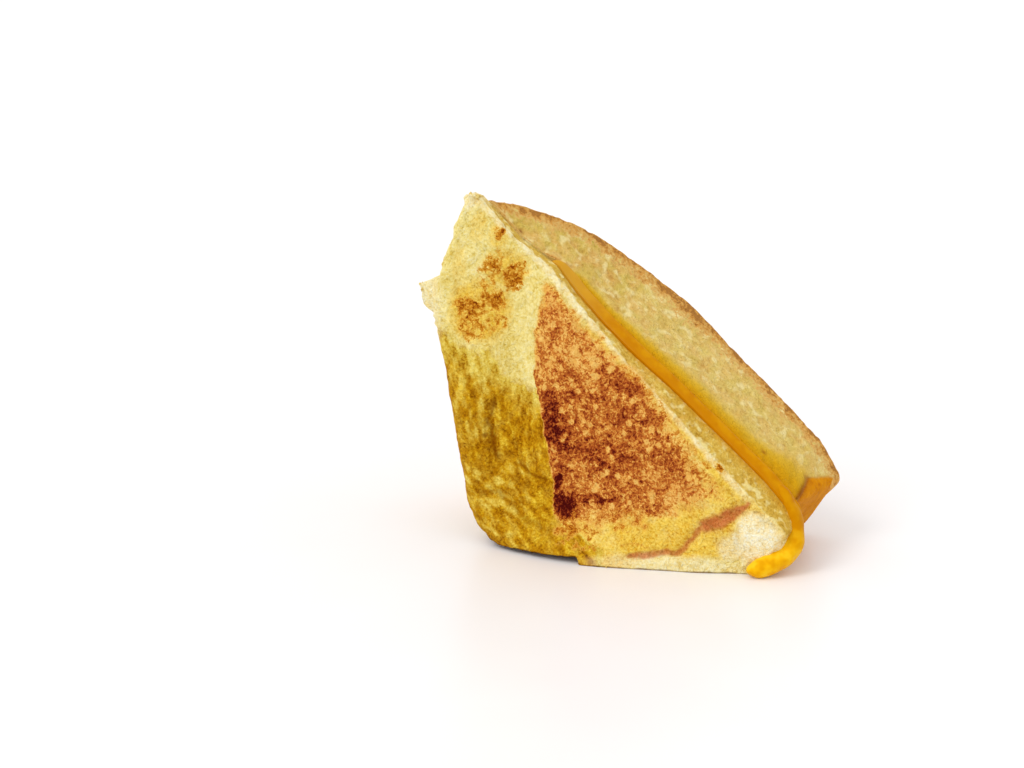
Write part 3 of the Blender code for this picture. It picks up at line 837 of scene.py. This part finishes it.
def patch_level(rings, flat):
    """Browning of the griddled face, and how far inside the large patch it is.

    Inside is the product of smooth steps in from the patch's left edge, the cut and its foot, all
    ragged.  The level is an even one with clouds added and taken away, and the spots where stronger.
    """
    x, z = flat[..., 0], flat[..., 1]
    place = down_cut(flat)
    ragged = swell(rings, 2.4, 31) + 0.6 * swell(rings, 1.2, 32)
    from_left = x - np.interp(z, PATCH_HEIGHTS, PATCH_LEFT)
    from_cut = inside_cut(flat) - np.interp(place, MARGIN_PLACES, MARGINS) + 1.3 * ragged
    from_foot = z - np.interp(x, PATCH_PLACES, PATCH_FOOT)
    upper = ramp(z, 44.0, 54.0)
    inside = ramp(from_left + (0.4 + 0.5 * upper) * ragged, -0.1 - 0.9 * upper, 0.3 + 1.1 * upper)
    fading = ramp(from_cut, -0.4, 2.2 + 2.8 * ramp(place, -34.0, -14.0))
    inside = inside * (0.35 * ramp(from_cut, -1.4, 0.4) + 0.65 * fading)
    inside *= ramp(from_foot + 1.9 * ragged, -2.0, 4.6) * ramp(-z, -73.0, -67.0)
    level = 0.39 + 0.12 * ramp(-z, -58.0, -42.0) + 0.08 * swell(rings, 6.0, 36)
    shifted = wander(rings, 1.3, 3.0, 34)
    level += sum(blots(shifted, [cloud]) for cloud in CLOUDS)
    level -= sum(blots(shifted, [cloud]) for cloud in PALER_CLOUDS)
    return np.maximum(level * inside, 0.88 * blots(wander(rings, 1.2, 1.8, 37), SPOTS)), inside


def bruise_level(rings, flat):
    """Strength of the soft brown line above the foot and of the blot at its upper end."""
    wandering = wander(rings, 0.5, 1.8, 44)
    line = 0.8 * fall(line_distance(wandering, FOOT_CREASE), 0.35, 1.05)
    width = 2.1 - 1.3 * ramp(flat[..., 0], 24.0, 31.0)
    return np.maximum(line, 0.92 * fall(line_distance(wandering, BRUISE) / width, 0.5, 1.25))


def crease_shade_and_speck_level(rings):
    """Strength of the painted shade along the creases left of the patch, a bell across each, and of the
    brown specks beside them.
    """
    wandering = wander(rings, 0.8, 2.2, 56)
    level = blots(wandering, CREASE_SPECKS)
    for line, strength, width in CREASE_SHADES:
        level = np.maximum(level, strength * hump(line_distance(wandering, line), 0.0, width))
    return level


def butter_and_shade_level(rings, flat, stage, on_face):
    """Butter that has soaked in below its upper edge and left of the patch, whose olive stands partly for
    painted shade and orange bounce light, and the swirls in it.

    It is a smooth step under the edge times one beside the patch, both ragged, weaker along drawn-out
    streaks above and swirls at the lower left, which are lighter partly as painted highlights on folds, and
    half as strong towards the back.
    """
    x, z = flat[..., 0], flat[..., 1]
    low = ramp(-z + 1.5 * swell(rings, 3.0, 52), -9.5, -4.0)
    from_left = x - np.interp(z, PATCH_HEIGHTS, PATCH_LEFT)
    beside = from_left - 10.0 * low + 0.5 * swell(rings, 3.0, 40)
    below = np.interp(x, BUTTER_PLACES, BUTTER_TOP) - z + 3.0 * swell(rings, 5.0, 39)
    butter = ramp(below, -7.0, 8.0) * fall(beside, 1.0, 2.4 + 4.0 * ramp(-z, -9.5, -4.0))
    low_left = ramp(-z + 2.0 * swell(rings, 5.0, 60), -25.0, -19.0)
    # Streaks and swirls: partly the butter's own pattern, partly painted highlights on folds of the crumb
    streaks, swirls = drawn_out(flat, 96.0, 2.8, 1.0, 65), drawn_out(flat, -40.0, 3.0, 1.3, 67)
    swirl = np.clip(0.5 + 0.85 * on_face * (streaks + (swirls - streaks) * low_left), 0.0, 1.0)
    butter *= 1.0 - 0.24 * on_face * ramp(swirls, -0.2, 0.5) * low_left * ramp(-x, 24.0, 30.0)
    butter *= 1.0 - 0.22 * on_face * ramp(streaks, -0.2, 0.5) * ramp(-x, 36.0, 41.0) * ramp(z, 22.0, 30.0)
    return butter * (1.0 - 0.5 * ramp(stage, 1.0, 2.4)), swirl


def golden_level(rings, flat, rosy):
    """Gold round the spots, in a band below the patch, under the patch itself and along the cut."""
    x, z = flat[..., 0], flat[..., 1]
    place = down_cut(flat)
    above = z - np.interp(x, PATCH_PLACES, PATCH_FOOT) + 1.5 * swell(rings, 4.0, 41)
    lower = fall(above, 2.0, 6.0) * ramp(x, -24.0, -17.0) * fall(-z, -4.0, -2.2)
    from_ground = ramp(z + 1.4 * swell(rings, 2.4, 48), 1.5, 5.0)
    lower = lower * (0.75 + 0.25 * swell(rings, 3.0, 47)) * (0.4 + 0.6 * from_ground)
    by_cut = ramp(-inside_cut(flat), -5.0, -2.0) * ramp(place, -62.0, -46.0) * fall(place, 2.0, 10.0)
    return np.maximum.reduce([blots(flat, GOLDEN), lower, rosy, 0.75 * by_cut])


def white_level(rings, flat, torn, toast):
    """Almost white crumb: at the torn low end, the top end and the lip, and where torn; and a whitish line
    along the upper cut edge that is partly pale crumb and partly painted highlight.
    """
    # Whitish line along the cut edge: partly pale crumb, partly painted highlight
    cut_edge_highlight = ramp(-inside_cut(flat) + 0.5 * swell(rings, 1.6, 55), -1.9, -0.4)
    margin = 0.6 * cut_edge_highlight * ramp(-down_cut(flat), -14.0, 0.0)
    white = np.maximum.reduce([blots(wander(rings, 0.8, 2.0, 49), WHITE), margin, 0.6 * torn])
    return white * (1.0 - np.minimum(1.0, 1.5 * toast))


def underside_shadow_level(rings, flat, stage):
    """Painted shadow in dark brown, on an underside that is browned too: where the rim turns under the
    raised foot and along its lowest edge, and a thin painted contact shadow along the ground.
    """
    x, z = flat[..., 0], flat[..., 1]
    turned_under = ramp(stage, 0.30, 0.75) * fall(z, 1.4, 3.2)
    lowest_edge_shadow = fall(z + 0.4 * swell(rings, 2.4, 58), 0.9, 1.7)
    contact_shadow = 0.75 * fall(z + 0.2 * swell(rings, 2.4, 59), 0.1, 0.5)
    return np.maximum(np.maximum(turned_under, lowest_edge_shadow) * ramp(-x, 11.0, 12.5), contact_shadow)


def front_slice(settings):
    """The griddled slice: a slab over its outline, its face thinned to the cut, grooved, creased and
    torn, with crumb relief along its normals."""
    path = spaced(rounded_outline(FRONT_CORNERS, 24), settings.points_round, 1.6)
    on_cut = ramp(-inside_cut(path), -3.5, -0.6)
    on_foot = ramp(-path[:, 1], -4.0, -1.0) * ramp(path[:, 0], -46.0, -30.0)
    full_round = settings.front_round / MM
    near = full_round + (FOOT_ROUND - full_round) * on_foot
    near = near + (CUT_EDGE - near) * on_cut
    far = INNER_ROUND + (CUT_EDGE - INNER_ROUND) * on_cut
    counts = (int(settings.rings * 0.66), 14, 26, 5, 12)
    rings, around = slab(path, SLICE_MIDDLE, (griddled_face, front_inner), (near, far), counts)
    rings = torn_flap(lean(rings), settings.flap_reach / MM)
    flat = rings[..., [0, 2]]
    x, z = flat[..., 0], flat[..., 1]
    place, stage = down_cut(flat), around[:, None]
    on_face = fall(stage, 0.35, 0.9)
    cut = on_cut[None] * ramp(stage, 0.45, 0.95) * fall(stage, 2.3, 2.9) * ramp(place, -96.0, -90.0)
    toast, rosy = patch_level(rings, flat)
    toast = toast * on_face
    butter, swirl = butter_and_shade_level(rings, flat, stage, on_face)
    torn_side = 0.45 * ramp(stage, 0.4, 0.9) * ramp(z, 50.0, 58.0) * ramp(-x, 44.0, 47.0)
    torn = np.maximum(blots(flat, TORN), torn_side)
    masks = {
        "butter": butter, "swirl": swirl, "toast": toast, "rosy": rosy, "cut": cut,
        "golden": golden_level(rings, flat, rosy) * on_face,
        "white": white_level(rings, flat, torn, toast),
        "stain": cut * ramp(stage, 1.6, 2.0) * 0.6 * ramp(place, -66.0, -56.0),
        # painted shadow under the raised foot and along the ground
        "under": underside_shadow_level(rings, flat, stage),
        # painted shade in the creases, and brown specks beside them
        "groove": crease_shade_and_speck_level(rings) * on_face,
        "bruise": bruise_level(rings, flat) * on_face,
    }
    free = fall(stage, 2.0, 2.6)
    relief = crumb_relief(rings, settings.relief / MM) * free * ramp(z, 0.0, 1.5)
    relief *= 1.0 - 0.4 * np.minimum(toast * 2.0, 1.0)
    relief += torn * free * 0.9 * (swell(rings, 1.7, 42) + 0.6 * swell(rings, 0.9, 43))
    rings = rest(rings + outward(rings) * relief[..., None])
    add_piece("front_slice", [rings], "front_bread", griddled_bread_material(settings),
              {label: [values] for label, values in masks.items()})


def edge_level(rings, to_back, from_inner, on_rim, thin_rim):
    """Speckled outer edge of the broad cut, fading inwards, and a thin line of it by the seam above that is
    partly painted shade in the gap between the slices.
    """
    place = down_cut(rings[..., [0, 2]])
    edge = np.clip(1.15 + 0.4 * hump(place, -40.0, 7.0) - 0.165 * to_back, 0.0, 1.0) * on_rim
    # The thin line by the seam: crust colour that partly stands for painted shade in the gap between the
    # slices
    seam_line_and_shade = hump(from_inner, 0.0, 1.1) * fall(place, -72.0, -64.0) * thin_rim
    return np.maximum(edge, 0.85 * seam_line_and_shade)


def back_slice(settings):
    """The thick slice behind: a slab over its outline with a broad leaning cut of open crumb, a thin
    edge at the top end, a speckled outer edge and smooth crust round its low end and sides."""
    path = spaced(rounded_outline(BACK_CORNERS, 24), settings.points_round, 2.4)
    on_cut = ramp(-inside_cut(path), -3.5, -0.6)
    on_tip = ramp(down_cut(path), 8.0, 18.0)
    full_round = settings.back_round / MM
    near = INNER_ROUND + (SEAM_EDGE - INNER_ROUND) * on_cut
    far = full_round + (TIP_ROUND - full_round) * on_tip
    far = far + (CUT_EDGE - far) * on_cut
    counts = (12, 5, int(settings.rings * 0.42), 14, int(settings.rings * 0.28))
    rings, around = slab(path, SLICE_MIDDLE, (back_inner, back_face), (near, far), counts)
    rings = lean(rings)
    flat, depth = rings[..., [0, 2]], rings[..., 1]
    z, place, stage = flat[..., 1], down_cut(flat), around[:, None]
    on_rim = ramp(stage, 0.5, 0.95) * fall(stage, 2.05, 2.7)
    past_inner = on_cut[None] * ramp(stage, 0.3, 0.6)
    crumb_end = np.interp(depth, TIP_DEPTHS, TIP_PLACES) + 0.3 * swell(rings, 3.0, 51)
    before_end = fall(place - crumb_end, -0.5, 0.6)
    cut = on_rim * ramp(-inside_cut(path), -2.2, -0.9)[None] * before_end
    cut = np.maximum(cut, fall(stage, 0.6, 1.0))
    from_inner = np.clip(depth - back_inner(flat), 0.0, None)
    reach_in = 2.0 + 2.4 * ramp(place, -58.0, -18.0) + 5.0 * ramp(place, -4.0, 13.0)
    stain = np.exp(-(from_inner / reach_in) ** 1.3) * ramp(place, -68.0, -60.0) * past_inner * before_end
    edge = edge_level(rings, back_face(flat) - depth, from_inner, on_rim * on_cut[None], past_inner)
    toast = ramp(stage, 2.3, 3.0) * (0.48 + 0.20 * swell(rings, 9.0, 53)) * ramp(z, 3.0, 12.0)
    # Painted shade in the crease at the low tip and in small pits, which are also pressed in a little below
    dark = 0.85 * hump(line_distance(rings, TIP_CREASE), 0.0, 1.0)
    for centre, size in CRUMB_PITS:
        dark = np.maximum(dark, 0.9 * hump(np.linalg.norm(rings - np.array(centre), axis=-1), 0.0, size))
    free = ramp(stage, 0.4, 1.0)
    smooth_crust = 1.0 - 0.8 * (1.0 - cut) * fall(stage, 2.2, 2.9)
    relief = crumb_relief(rings, settings.relief / MM) * free * smooth_crust * ramp(z, 0.0, 1.5)
    relief *= 1.0 - 0.55 * np.clip(2.0 * edge - 0.6, 0.0, 1.0)
    relief += 0.25 * swell(rings, 1.6, 54) * np.clip(edge - 0.45, 0.0, 1.0) * free
    rings = rest(rings + outward(rings) * (relief - 0.2 * dark)[..., None])
    low = ramp(place, -62.0, -36.0) * fall(inside_cut(flat), 30.0, 50.0)
    masks = {"cut": cut, "edge": edge, "stain": stain, "toast": toast, "dark": dark, "low": low}
    add_piece("back_slice", [rings], "back_bread", crumb_bread_material(settings),
              {label: [values] for label, values in masks.items()})


def cheese_sheet():
    """The sheet between the slices: a thin slab that fills the room left for it, hollow towards the
    front slice and flush with the back slice along the cut."""

    def near_side(flat):
        return front_inner(flat) + 0.03

    def far_side(flat):
        return np.maximum(back_inner(flat), front_inner(flat) + 0.5) + 0.12

    path = spaced(rounded_outline(CHEESE_CORNERS, 18), 420, 2.0)
    rounds = (np.full(len(path), 0.5), np.full(len(path), 0.5))
    rings, around = slab(path, CHEESE_MIDDLE, (near_side, far_side), rounds, (40, 6, 8, 6, 40))
    rings = lean(rings)
    on_rim = ramp(1.5 - np.abs(around - 1.5), 0.0, 0.8)[:, None]
    at_cut = ramp(-inside_cut(path), -3.0, -0.5)[None] * on_rim
    hollow = 0.1 - 0.40 * fall(around, 0.9, 2.0)[:, None] + 0.15 * swell(rings, 6.0, 61)
    rings[..., [0, 2]] += (hollow * at_cut)[..., None] * OUTWARD
    # The second result marks the side next to the front slice, for painted shade there
    return rest(rings), 0.8 * fall(around, 0.8, 1.7)[:, None]


def cheese_run(steps=90, around=40):
    """The run: circles of changing radius carried along a cubic curve through its centres, shrunk to
    round ends, with soft ripples and a fold."""
    table = np.array([list(centre) + [radius] for centre, radius in RUN])
    ends = np.vstack([2.0 * table[0] - table[1], table, 2.0 * table[-1] - table[-2]])
    at = np.linspace(0.0, len(table) - 1.0, steps)
    index = np.minimum(at.astype(int), len(table) - 2)
    part = (at - index)[:, None]
    a, b, c, d = (ends[index + shift] for shift in range(4))
    curve = b + 0.5 * part * (c - a + part * (2.0 * a - 5.0 * b + 4.0 * c - d
                                              + part * (3.0 * (b - c) + d - a)))
    centre, radius = curve[:, :3], curve[:, 3]
    heading = np.gradient(centre, axis=0)
    heading /= np.linalg.norm(heading, axis=1)[:, None]
    side = np.cross(heading, (0.0, 1.0, 0.3))
    side /= np.linalg.norm(side, axis=1)[:, None]
    over = np.cross(side, heading)
    from_end = np.minimum(np.arange(steps), np.arange(steps)[::-1])
    cap = np.sqrt(1.0 - (1.0 - np.clip((from_end + 0.15) / 9.0, 0.0, 1.0)) ** 2)
    turn = np.linspace(0.0, 2.0 * np.pi, around, endpoint=False)[None, :, None]
    spoke = np.cos(turn) * side[:, None] + np.sin(turn) * over[:, None]
    rings = centre[:, None] + (radius * cap)[:, None, None] * spoke
    ripples = 0.34 * swell(rings, 4.4, 62) + 0.12 * swell(rings, 2.0, 63)
    fold = 0.5 * hump(line_distance(rings, RUN_FOLD), 0.0, 0.7)
    rings = rings + outward(rings) * (ripples - fold)[..., None]
    thick = ramp(at, 2.2, 5.4)[:, None] * np.ones(around)
    return rest(rings), thick


def melted_cheese(settings):
    """Sheet and run in one piece."""
    sheet, near = cheese_sheet()
    run, thick = cheese_run()
    faint = 0.7 * ramp(-down_cut(sheet[..., [0, 2]]), 46.0, 66.0)
    # near: painted shade on the sheet next to the front slice
    masks = {"thick": (0.0, thick), "near": (near, 0.0), "faint": (faint, 0.0)}
    add_piece("melted_cheese", [sheet, run], "cheese", cheese_material(settings), masks)


def flake(centre, size, draws):
    """A small torn flake: a ball dented, flattened and turned at random."""
    up = np.linspace(0.12, np.pi - 0.12, FLAKE_ROWS)[:, None]
    turn = np.linspace(0.0, 2.0 * np.pi, FLAKE_AROUND, endpoint=False)[None]
    ball = np.stack([np.sin(up) * np.cos(turn), np.sin(up) * np.sin(turn), np.cos(up) + 0.0 * turn], axis=-1)
    ball *= 1.0 + 0.35 * draws.normal(size=(FLAKE_ROWS, FLAKE_AROUND, 1)) * np.sin(up)[..., None]
    axes = np.linalg.qr(draws.normal(size=(3, 3)))[0]
    stretch = np.array([1.0, draws.uniform(0.5, 0.9), draws.uniform(0.35, 0.6)])
    return rest((ball * stretch * size) @ axes + centre)


def torn_crumbs(settings):
    """Crumbs hanging on the torn edges: along the foot, at the top end and at the torn point."""
    draws = np.random.default_rng(settings.seed)
    stacks = []
    for _ in range(settings.crumbs):
        x = draws.uniform(-9.0, 31.0)
        y = griddled_face(np.array([x, 0.8])) + draws.uniform(0.5, 1.8)
        stacks.append(flake((x, y, draws.uniform(0.2, 0.6)), draws.uniform(0.3, 0.9), draws))
    for centre, spread, count in CRUMB_CLUSTERS:
        for _ in range(count):
            place = np.array(centre) + draws.uniform(-1.0, 1.0, 3) * spread
            stacks.append(flake(place, draws.uniform(0.2, 0.5), draws))
    add_piece("torn_crumbs", stacks, None, flake_material(settings), {})


# The stage


def turned(right, up, back):
    """Rotation whose axes are three given directions."""
    return Matrix(np.stack([right, up, back], axis=1).tolist())


def add_key(settings):
    """A broad soft light from the front and the left, high up."""
    lamp = bpy.data.lights.new("key", "SUN")
    lamp.energy = settings.key
    lamp.angle = settings.key_spread
    lamp.color = (1.0, 0.985, 0.96)
    back = np.array(settings.key_from)
    back /= np.linalg.norm(back)
    right = np.cross((0.0, 0.0, 1.0), back)
    right /= np.linalg.norm(right)
    add_object("key", lamp).rotation_euler = turned(right, np.cross(back, right), back).to_euler()


def add_camera(settings):
    """The camera at the photograph's angle, moved sideways so that the sandwich sits as it does there."""
    sensor, image_width, image_height = 36.0, 1024, 768
    turn, rise = settings.azimuth, settings.elevation
    back = np.array([np.sin(turn) * np.cos(rise), -np.cos(turn) * np.cos(rise), np.sin(rise)])
    right = np.array([np.cos(turn), np.sin(turn), 0.0])
    up = np.cross(back, right)
    aim = (np.array([0.0, AIM_DEPTH, 0.0]) - WORK_ORIGIN) * MM
    distance = settings.scale * MM * image_width * settings.lens / sensor
    spot = aim + distance * back
    spot -= right * (settings.aim_across - image_width / 2.0) * settings.scale * MM
    spot += up * (settings.aim_down - image_height / 2.0) * settings.scale * MM
    data = bpy.data.cameras.new("camera")
    data.lens = settings.lens
    data.sensor_width = sensor
    data.clip_start = 0.01
    data.clip_end = 20.0
    camera = add_object("camera", data)
    camera.matrix_world = Matrix.Translation(spot) @ turned(right, up, back).to_4x4()
    bpy.context.scene.camera = camera


def add_floor(settings):
    """A wide pale floor."""
    corners = [(-FLOOR_HALF, -FLOOR_HALF, 0.0), (FLOOR_HALF, -FLOOR_HALF, 0.0),
               (FLOOR_HALF, FLOOR_HALF, 0.0), (-FLOOR_HALF, FLOOR_HALF, 0.0)]
    mesh = bpy.data.meshes.new("floor")
    mesh.from_pydata(corners, [], [(0, 1, 2, 3)])
    paint = Paint("pale table", 0.4, {"Specular IOR Level": 0.4})
    cloud = paint.noise(60.0, 2.0)
    colour = paint.shades(cloud, tones(settings.floor, FLOOR_STEPS), 0.3, 0.7)
    mesh.materials.append(paint.finish(colour, 0.30 + 0.08 * cloud, cloud, settings.bump))
    add_object("floor", mesh)


def add_world(settings):
    """Even white light from all round."""
    world = bpy.data.worlds.new("studio")
    world.use_nodes = True
    background = world.node_tree.nodes["Background"]
    background.inputs["Color"].default_value = (1.0, 0.995, 0.985, 1.0)
    background.inputs["Strength"].default_value = settings.ambient
    bpy.context.scene.world = world


# The user's settings


def length_property(name, description, millimetres):
    """A length, in metres, from millimetres."""
    return FloatProperty(name=name, description=description, default=millimetres * MM, min=0.0,
                         unit="LENGTH", precision=5)


def angle_property(name, description, degrees):
    """An angle, in radians, from degrees."""
    return FloatProperty(name=name, description=description, default=np.radians(degrees), unit="ROTATION")


def colour_property(name, description, *parts):
    """A display colour from parts between 0 and 255."""
    return FloatVectorProperty(name=name, description=description, default=[part / 255.0 for part in parts],
                               min=0.0, max=1.0, subtype="COLOR_GAMMA")


class BreadSettings(bpy.types.PropertyGroup):
    relief: length_property("Relief", "Depth of the crumb relief", 0.55)
    bump: length_property("Bump", "Depth of the finest crumb", 0.6)
    front_round: length_property("Front rounding", "Rounding of the griddled face's edge", 5.5)
    back_round: length_property("Back rounding", "Rounding of the back's edge", 9.0)
    flap_reach: length_property("Torn point", "How far the torn point stands out", 9.4)
    rings: IntProperty(name="Rings", description="Rings over each slice", default=200, min=40)
    points_round: IntProperty(name="Points", description="Points round each slice", default=460, min=60)
    buttered: colour_property("Buttered crumb", "Pale crumb of the griddled face", 242, 223, 140)
    # Soaked crumb: butter-soaked crumb whose darkness is partly painted shade and orange bounce light
    soaked: colour_property("Soaked crumb", "Crumb where much butter has soaked in", 194, 138, 12)
    open_crumb: colour_property("Open crumb", "Crumb of the broad cut", 220, 194, 104)


class CheeseSettings(bpy.types.PropertyGroup):
    bump: length_property("Bump", "Depth of the ripples", 0.25)
    sheet: colour_property("Sheet", "Cheese between the slices", 202, 134, 1)
    run: colour_property("Run", "Cheese that has run out", 241, 180, 12)


class CrumbSettings(bpy.types.PropertyGroup):
    crumbs: IntProperty(name="Crumbs", description="Crumbs along the foot", default=46, min=0)
    seed: IntProperty(name="Seed", description="Draw of the crumbs", default=4)
    bump: length_property("Bump", "Depth of the finest crumb", 0.15)
    colour: colour_property("Crumbs", "Torn crumbs", 236, 210, 128)


class StageSettings(bpy.types.PropertyGroup):
    azimuth: angle_property("Azimuth", "Camera round the sandwich", 24.0)
    elevation: angle_property("Elevation", "Camera above the floor", 16.0)
    lens: FloatProperty(name="Lens", description="Focal length", default=85.0, unit="CAMERA")
    scale: FloatProperty(name="Scale", description="Millimetres to a pixel at the sandwich", default=0.26)
    aim_across: FloatProperty(name="Across", description="Pixel column of the aimed point", default=640.0)
    aim_down: FloatProperty(name="Down", description="Pixel row of the aimed point", default=552.0)
    ambient: FloatProperty(name="Ambient", description="Strength of the light from all round", default=1.0)
    key: FloatProperty(name="Key", description="Strength of the main light", default=0.8)
    key_from: FloatVectorProperty(name="Key from", description="Direction that the main light comes from",
                                  default=(-0.45, -0.60, 0.85), subtype="DIRECTION")
    key_spread: angle_property("Key spread", "Width of the main light", 28.0)
    floor: colour_property("Floor", "Pale floor", 243, 241, 242)
    bump: length_property("Floor bump", "Depth of the floor's unevenness", 0.02)


class PieceOperator:
    """What the operators of this add-on share."""

    bl_options = {"REGISTER", "UNDO"}


class SANDWICH_OT_front_slice(PieceOperator, bpy.types.Operator):
    """Build the griddled slice in front"""

    bl_idname = "sandwich.front_slice"
    bl_label = "Front Slice"

    def execute(self, context):
        front_slice(context.scene.sandwich_bread)
        return {"FINISHED"}


class SANDWICH_OT_back_slice(PieceOperator, bpy.types.Operator):
    """Build the thick slice behind"""

    bl_idname = "sandwich.back_slice"
    bl_label = "Back Slice"

    def execute(self, context):
        back_slice(context.scene.sandwich_bread)
        return {"FINISHED"}


class SANDWICH_OT_melted_cheese(PieceOperator, bpy.types.Operator):
    """Build the sheet of cheese and its run"""

    bl_idname = "sandwich.melted_cheese"
    bl_label = "Melted Cheese"

    def execute(self, context):
        melted_cheese(context.scene.sandwich_cheese)
        return {"FINISHED"}


class SANDWICH_OT_torn_crumbs(PieceOperator, bpy.types.Operator):
    """Build the crumbs on the torn edges"""

    bl_idname = "sandwich.torn_crumbs"
    bl_label = "Torn Crumbs"

    def execute(self, context):
        torn_crumbs(context.scene.sandwich_crumbs)
        return {"FINISHED"}


class SANDWICH_OT_stage(PieceOperator, bpy.types.Operator):
    """Build the floor, the lights and the camera"""

    bl_idname = "sandwich.stage"
    bl_label = "Stage"

    def execute(self, context):
        settings = context.scene.sandwich_stage
        add_floor(settings)
        add_world(settings)
        add_key(settings)
        add_camera(settings)
        context.scene.view_settings.view_transform = "Standard"
        return {"FINISHED"}


class SANDWICH_PT_panel(bpy.types.Panel):
    """Settings and steps of the sandwich"""

    bl_label = "Sandwich"
    bl_idname = "SANDWICH_PT_panel"
    bl_space_type = "VIEW_3D"
    bl_region_type = "UI"
    bl_category = "Sandwich"

    def draw(self, context):
        scene = context.scene
        for group in SETTINGS:
            settings, box = getattr(scene, group), self.layout.box()
            for label in settings.__annotations__:
                box.prop(settings, label)
        for operator in OPERATORS:
            self.layout.operator(operator.bl_idname)


SETTINGS = {
    "sandwich_bread": BreadSettings,
    "sandwich_cheese": CheeseSettings,
    "sandwich_crumbs": CrumbSettings,
    "sandwich_stage": StageSettings,
}
OPERATORS = (
    SANDWICH_OT_front_slice, SANDWICH_OT_back_slice, SANDWICH_OT_melted_cheese, SANDWICH_OT_torn_crumbs,
    SANDWICH_OT_stage,
)


def register():
    for kind in (*SETTINGS.values(), *OPERATORS, SANDWICH_PT_panel):
        bpy.utils.register_class(kind)
    for label, kind in SETTINGS.items():
        setattr(bpy.types.Scene, label, PointerProperty(type=kind))


def unregister():
    for label in SETTINGS:
        delattr(bpy.types.Scene, label)
    for kind in reversed((*SETTINGS.values(), *OPERATORS, SANDWICH_PT_panel)):
        bpy.utils.unregister_class(kind)


def main():
    register()
    bpy.ops.sandwich.front_slice()
    bpy.ops.sandwich.back_slice()
    bpy.ops.sandwich.melted_cheese()
    bpy.ops.sandwich.torn_crumbs()
    bpy.ops.sandwich.stage()


if __name__ == "__main__":
    main()
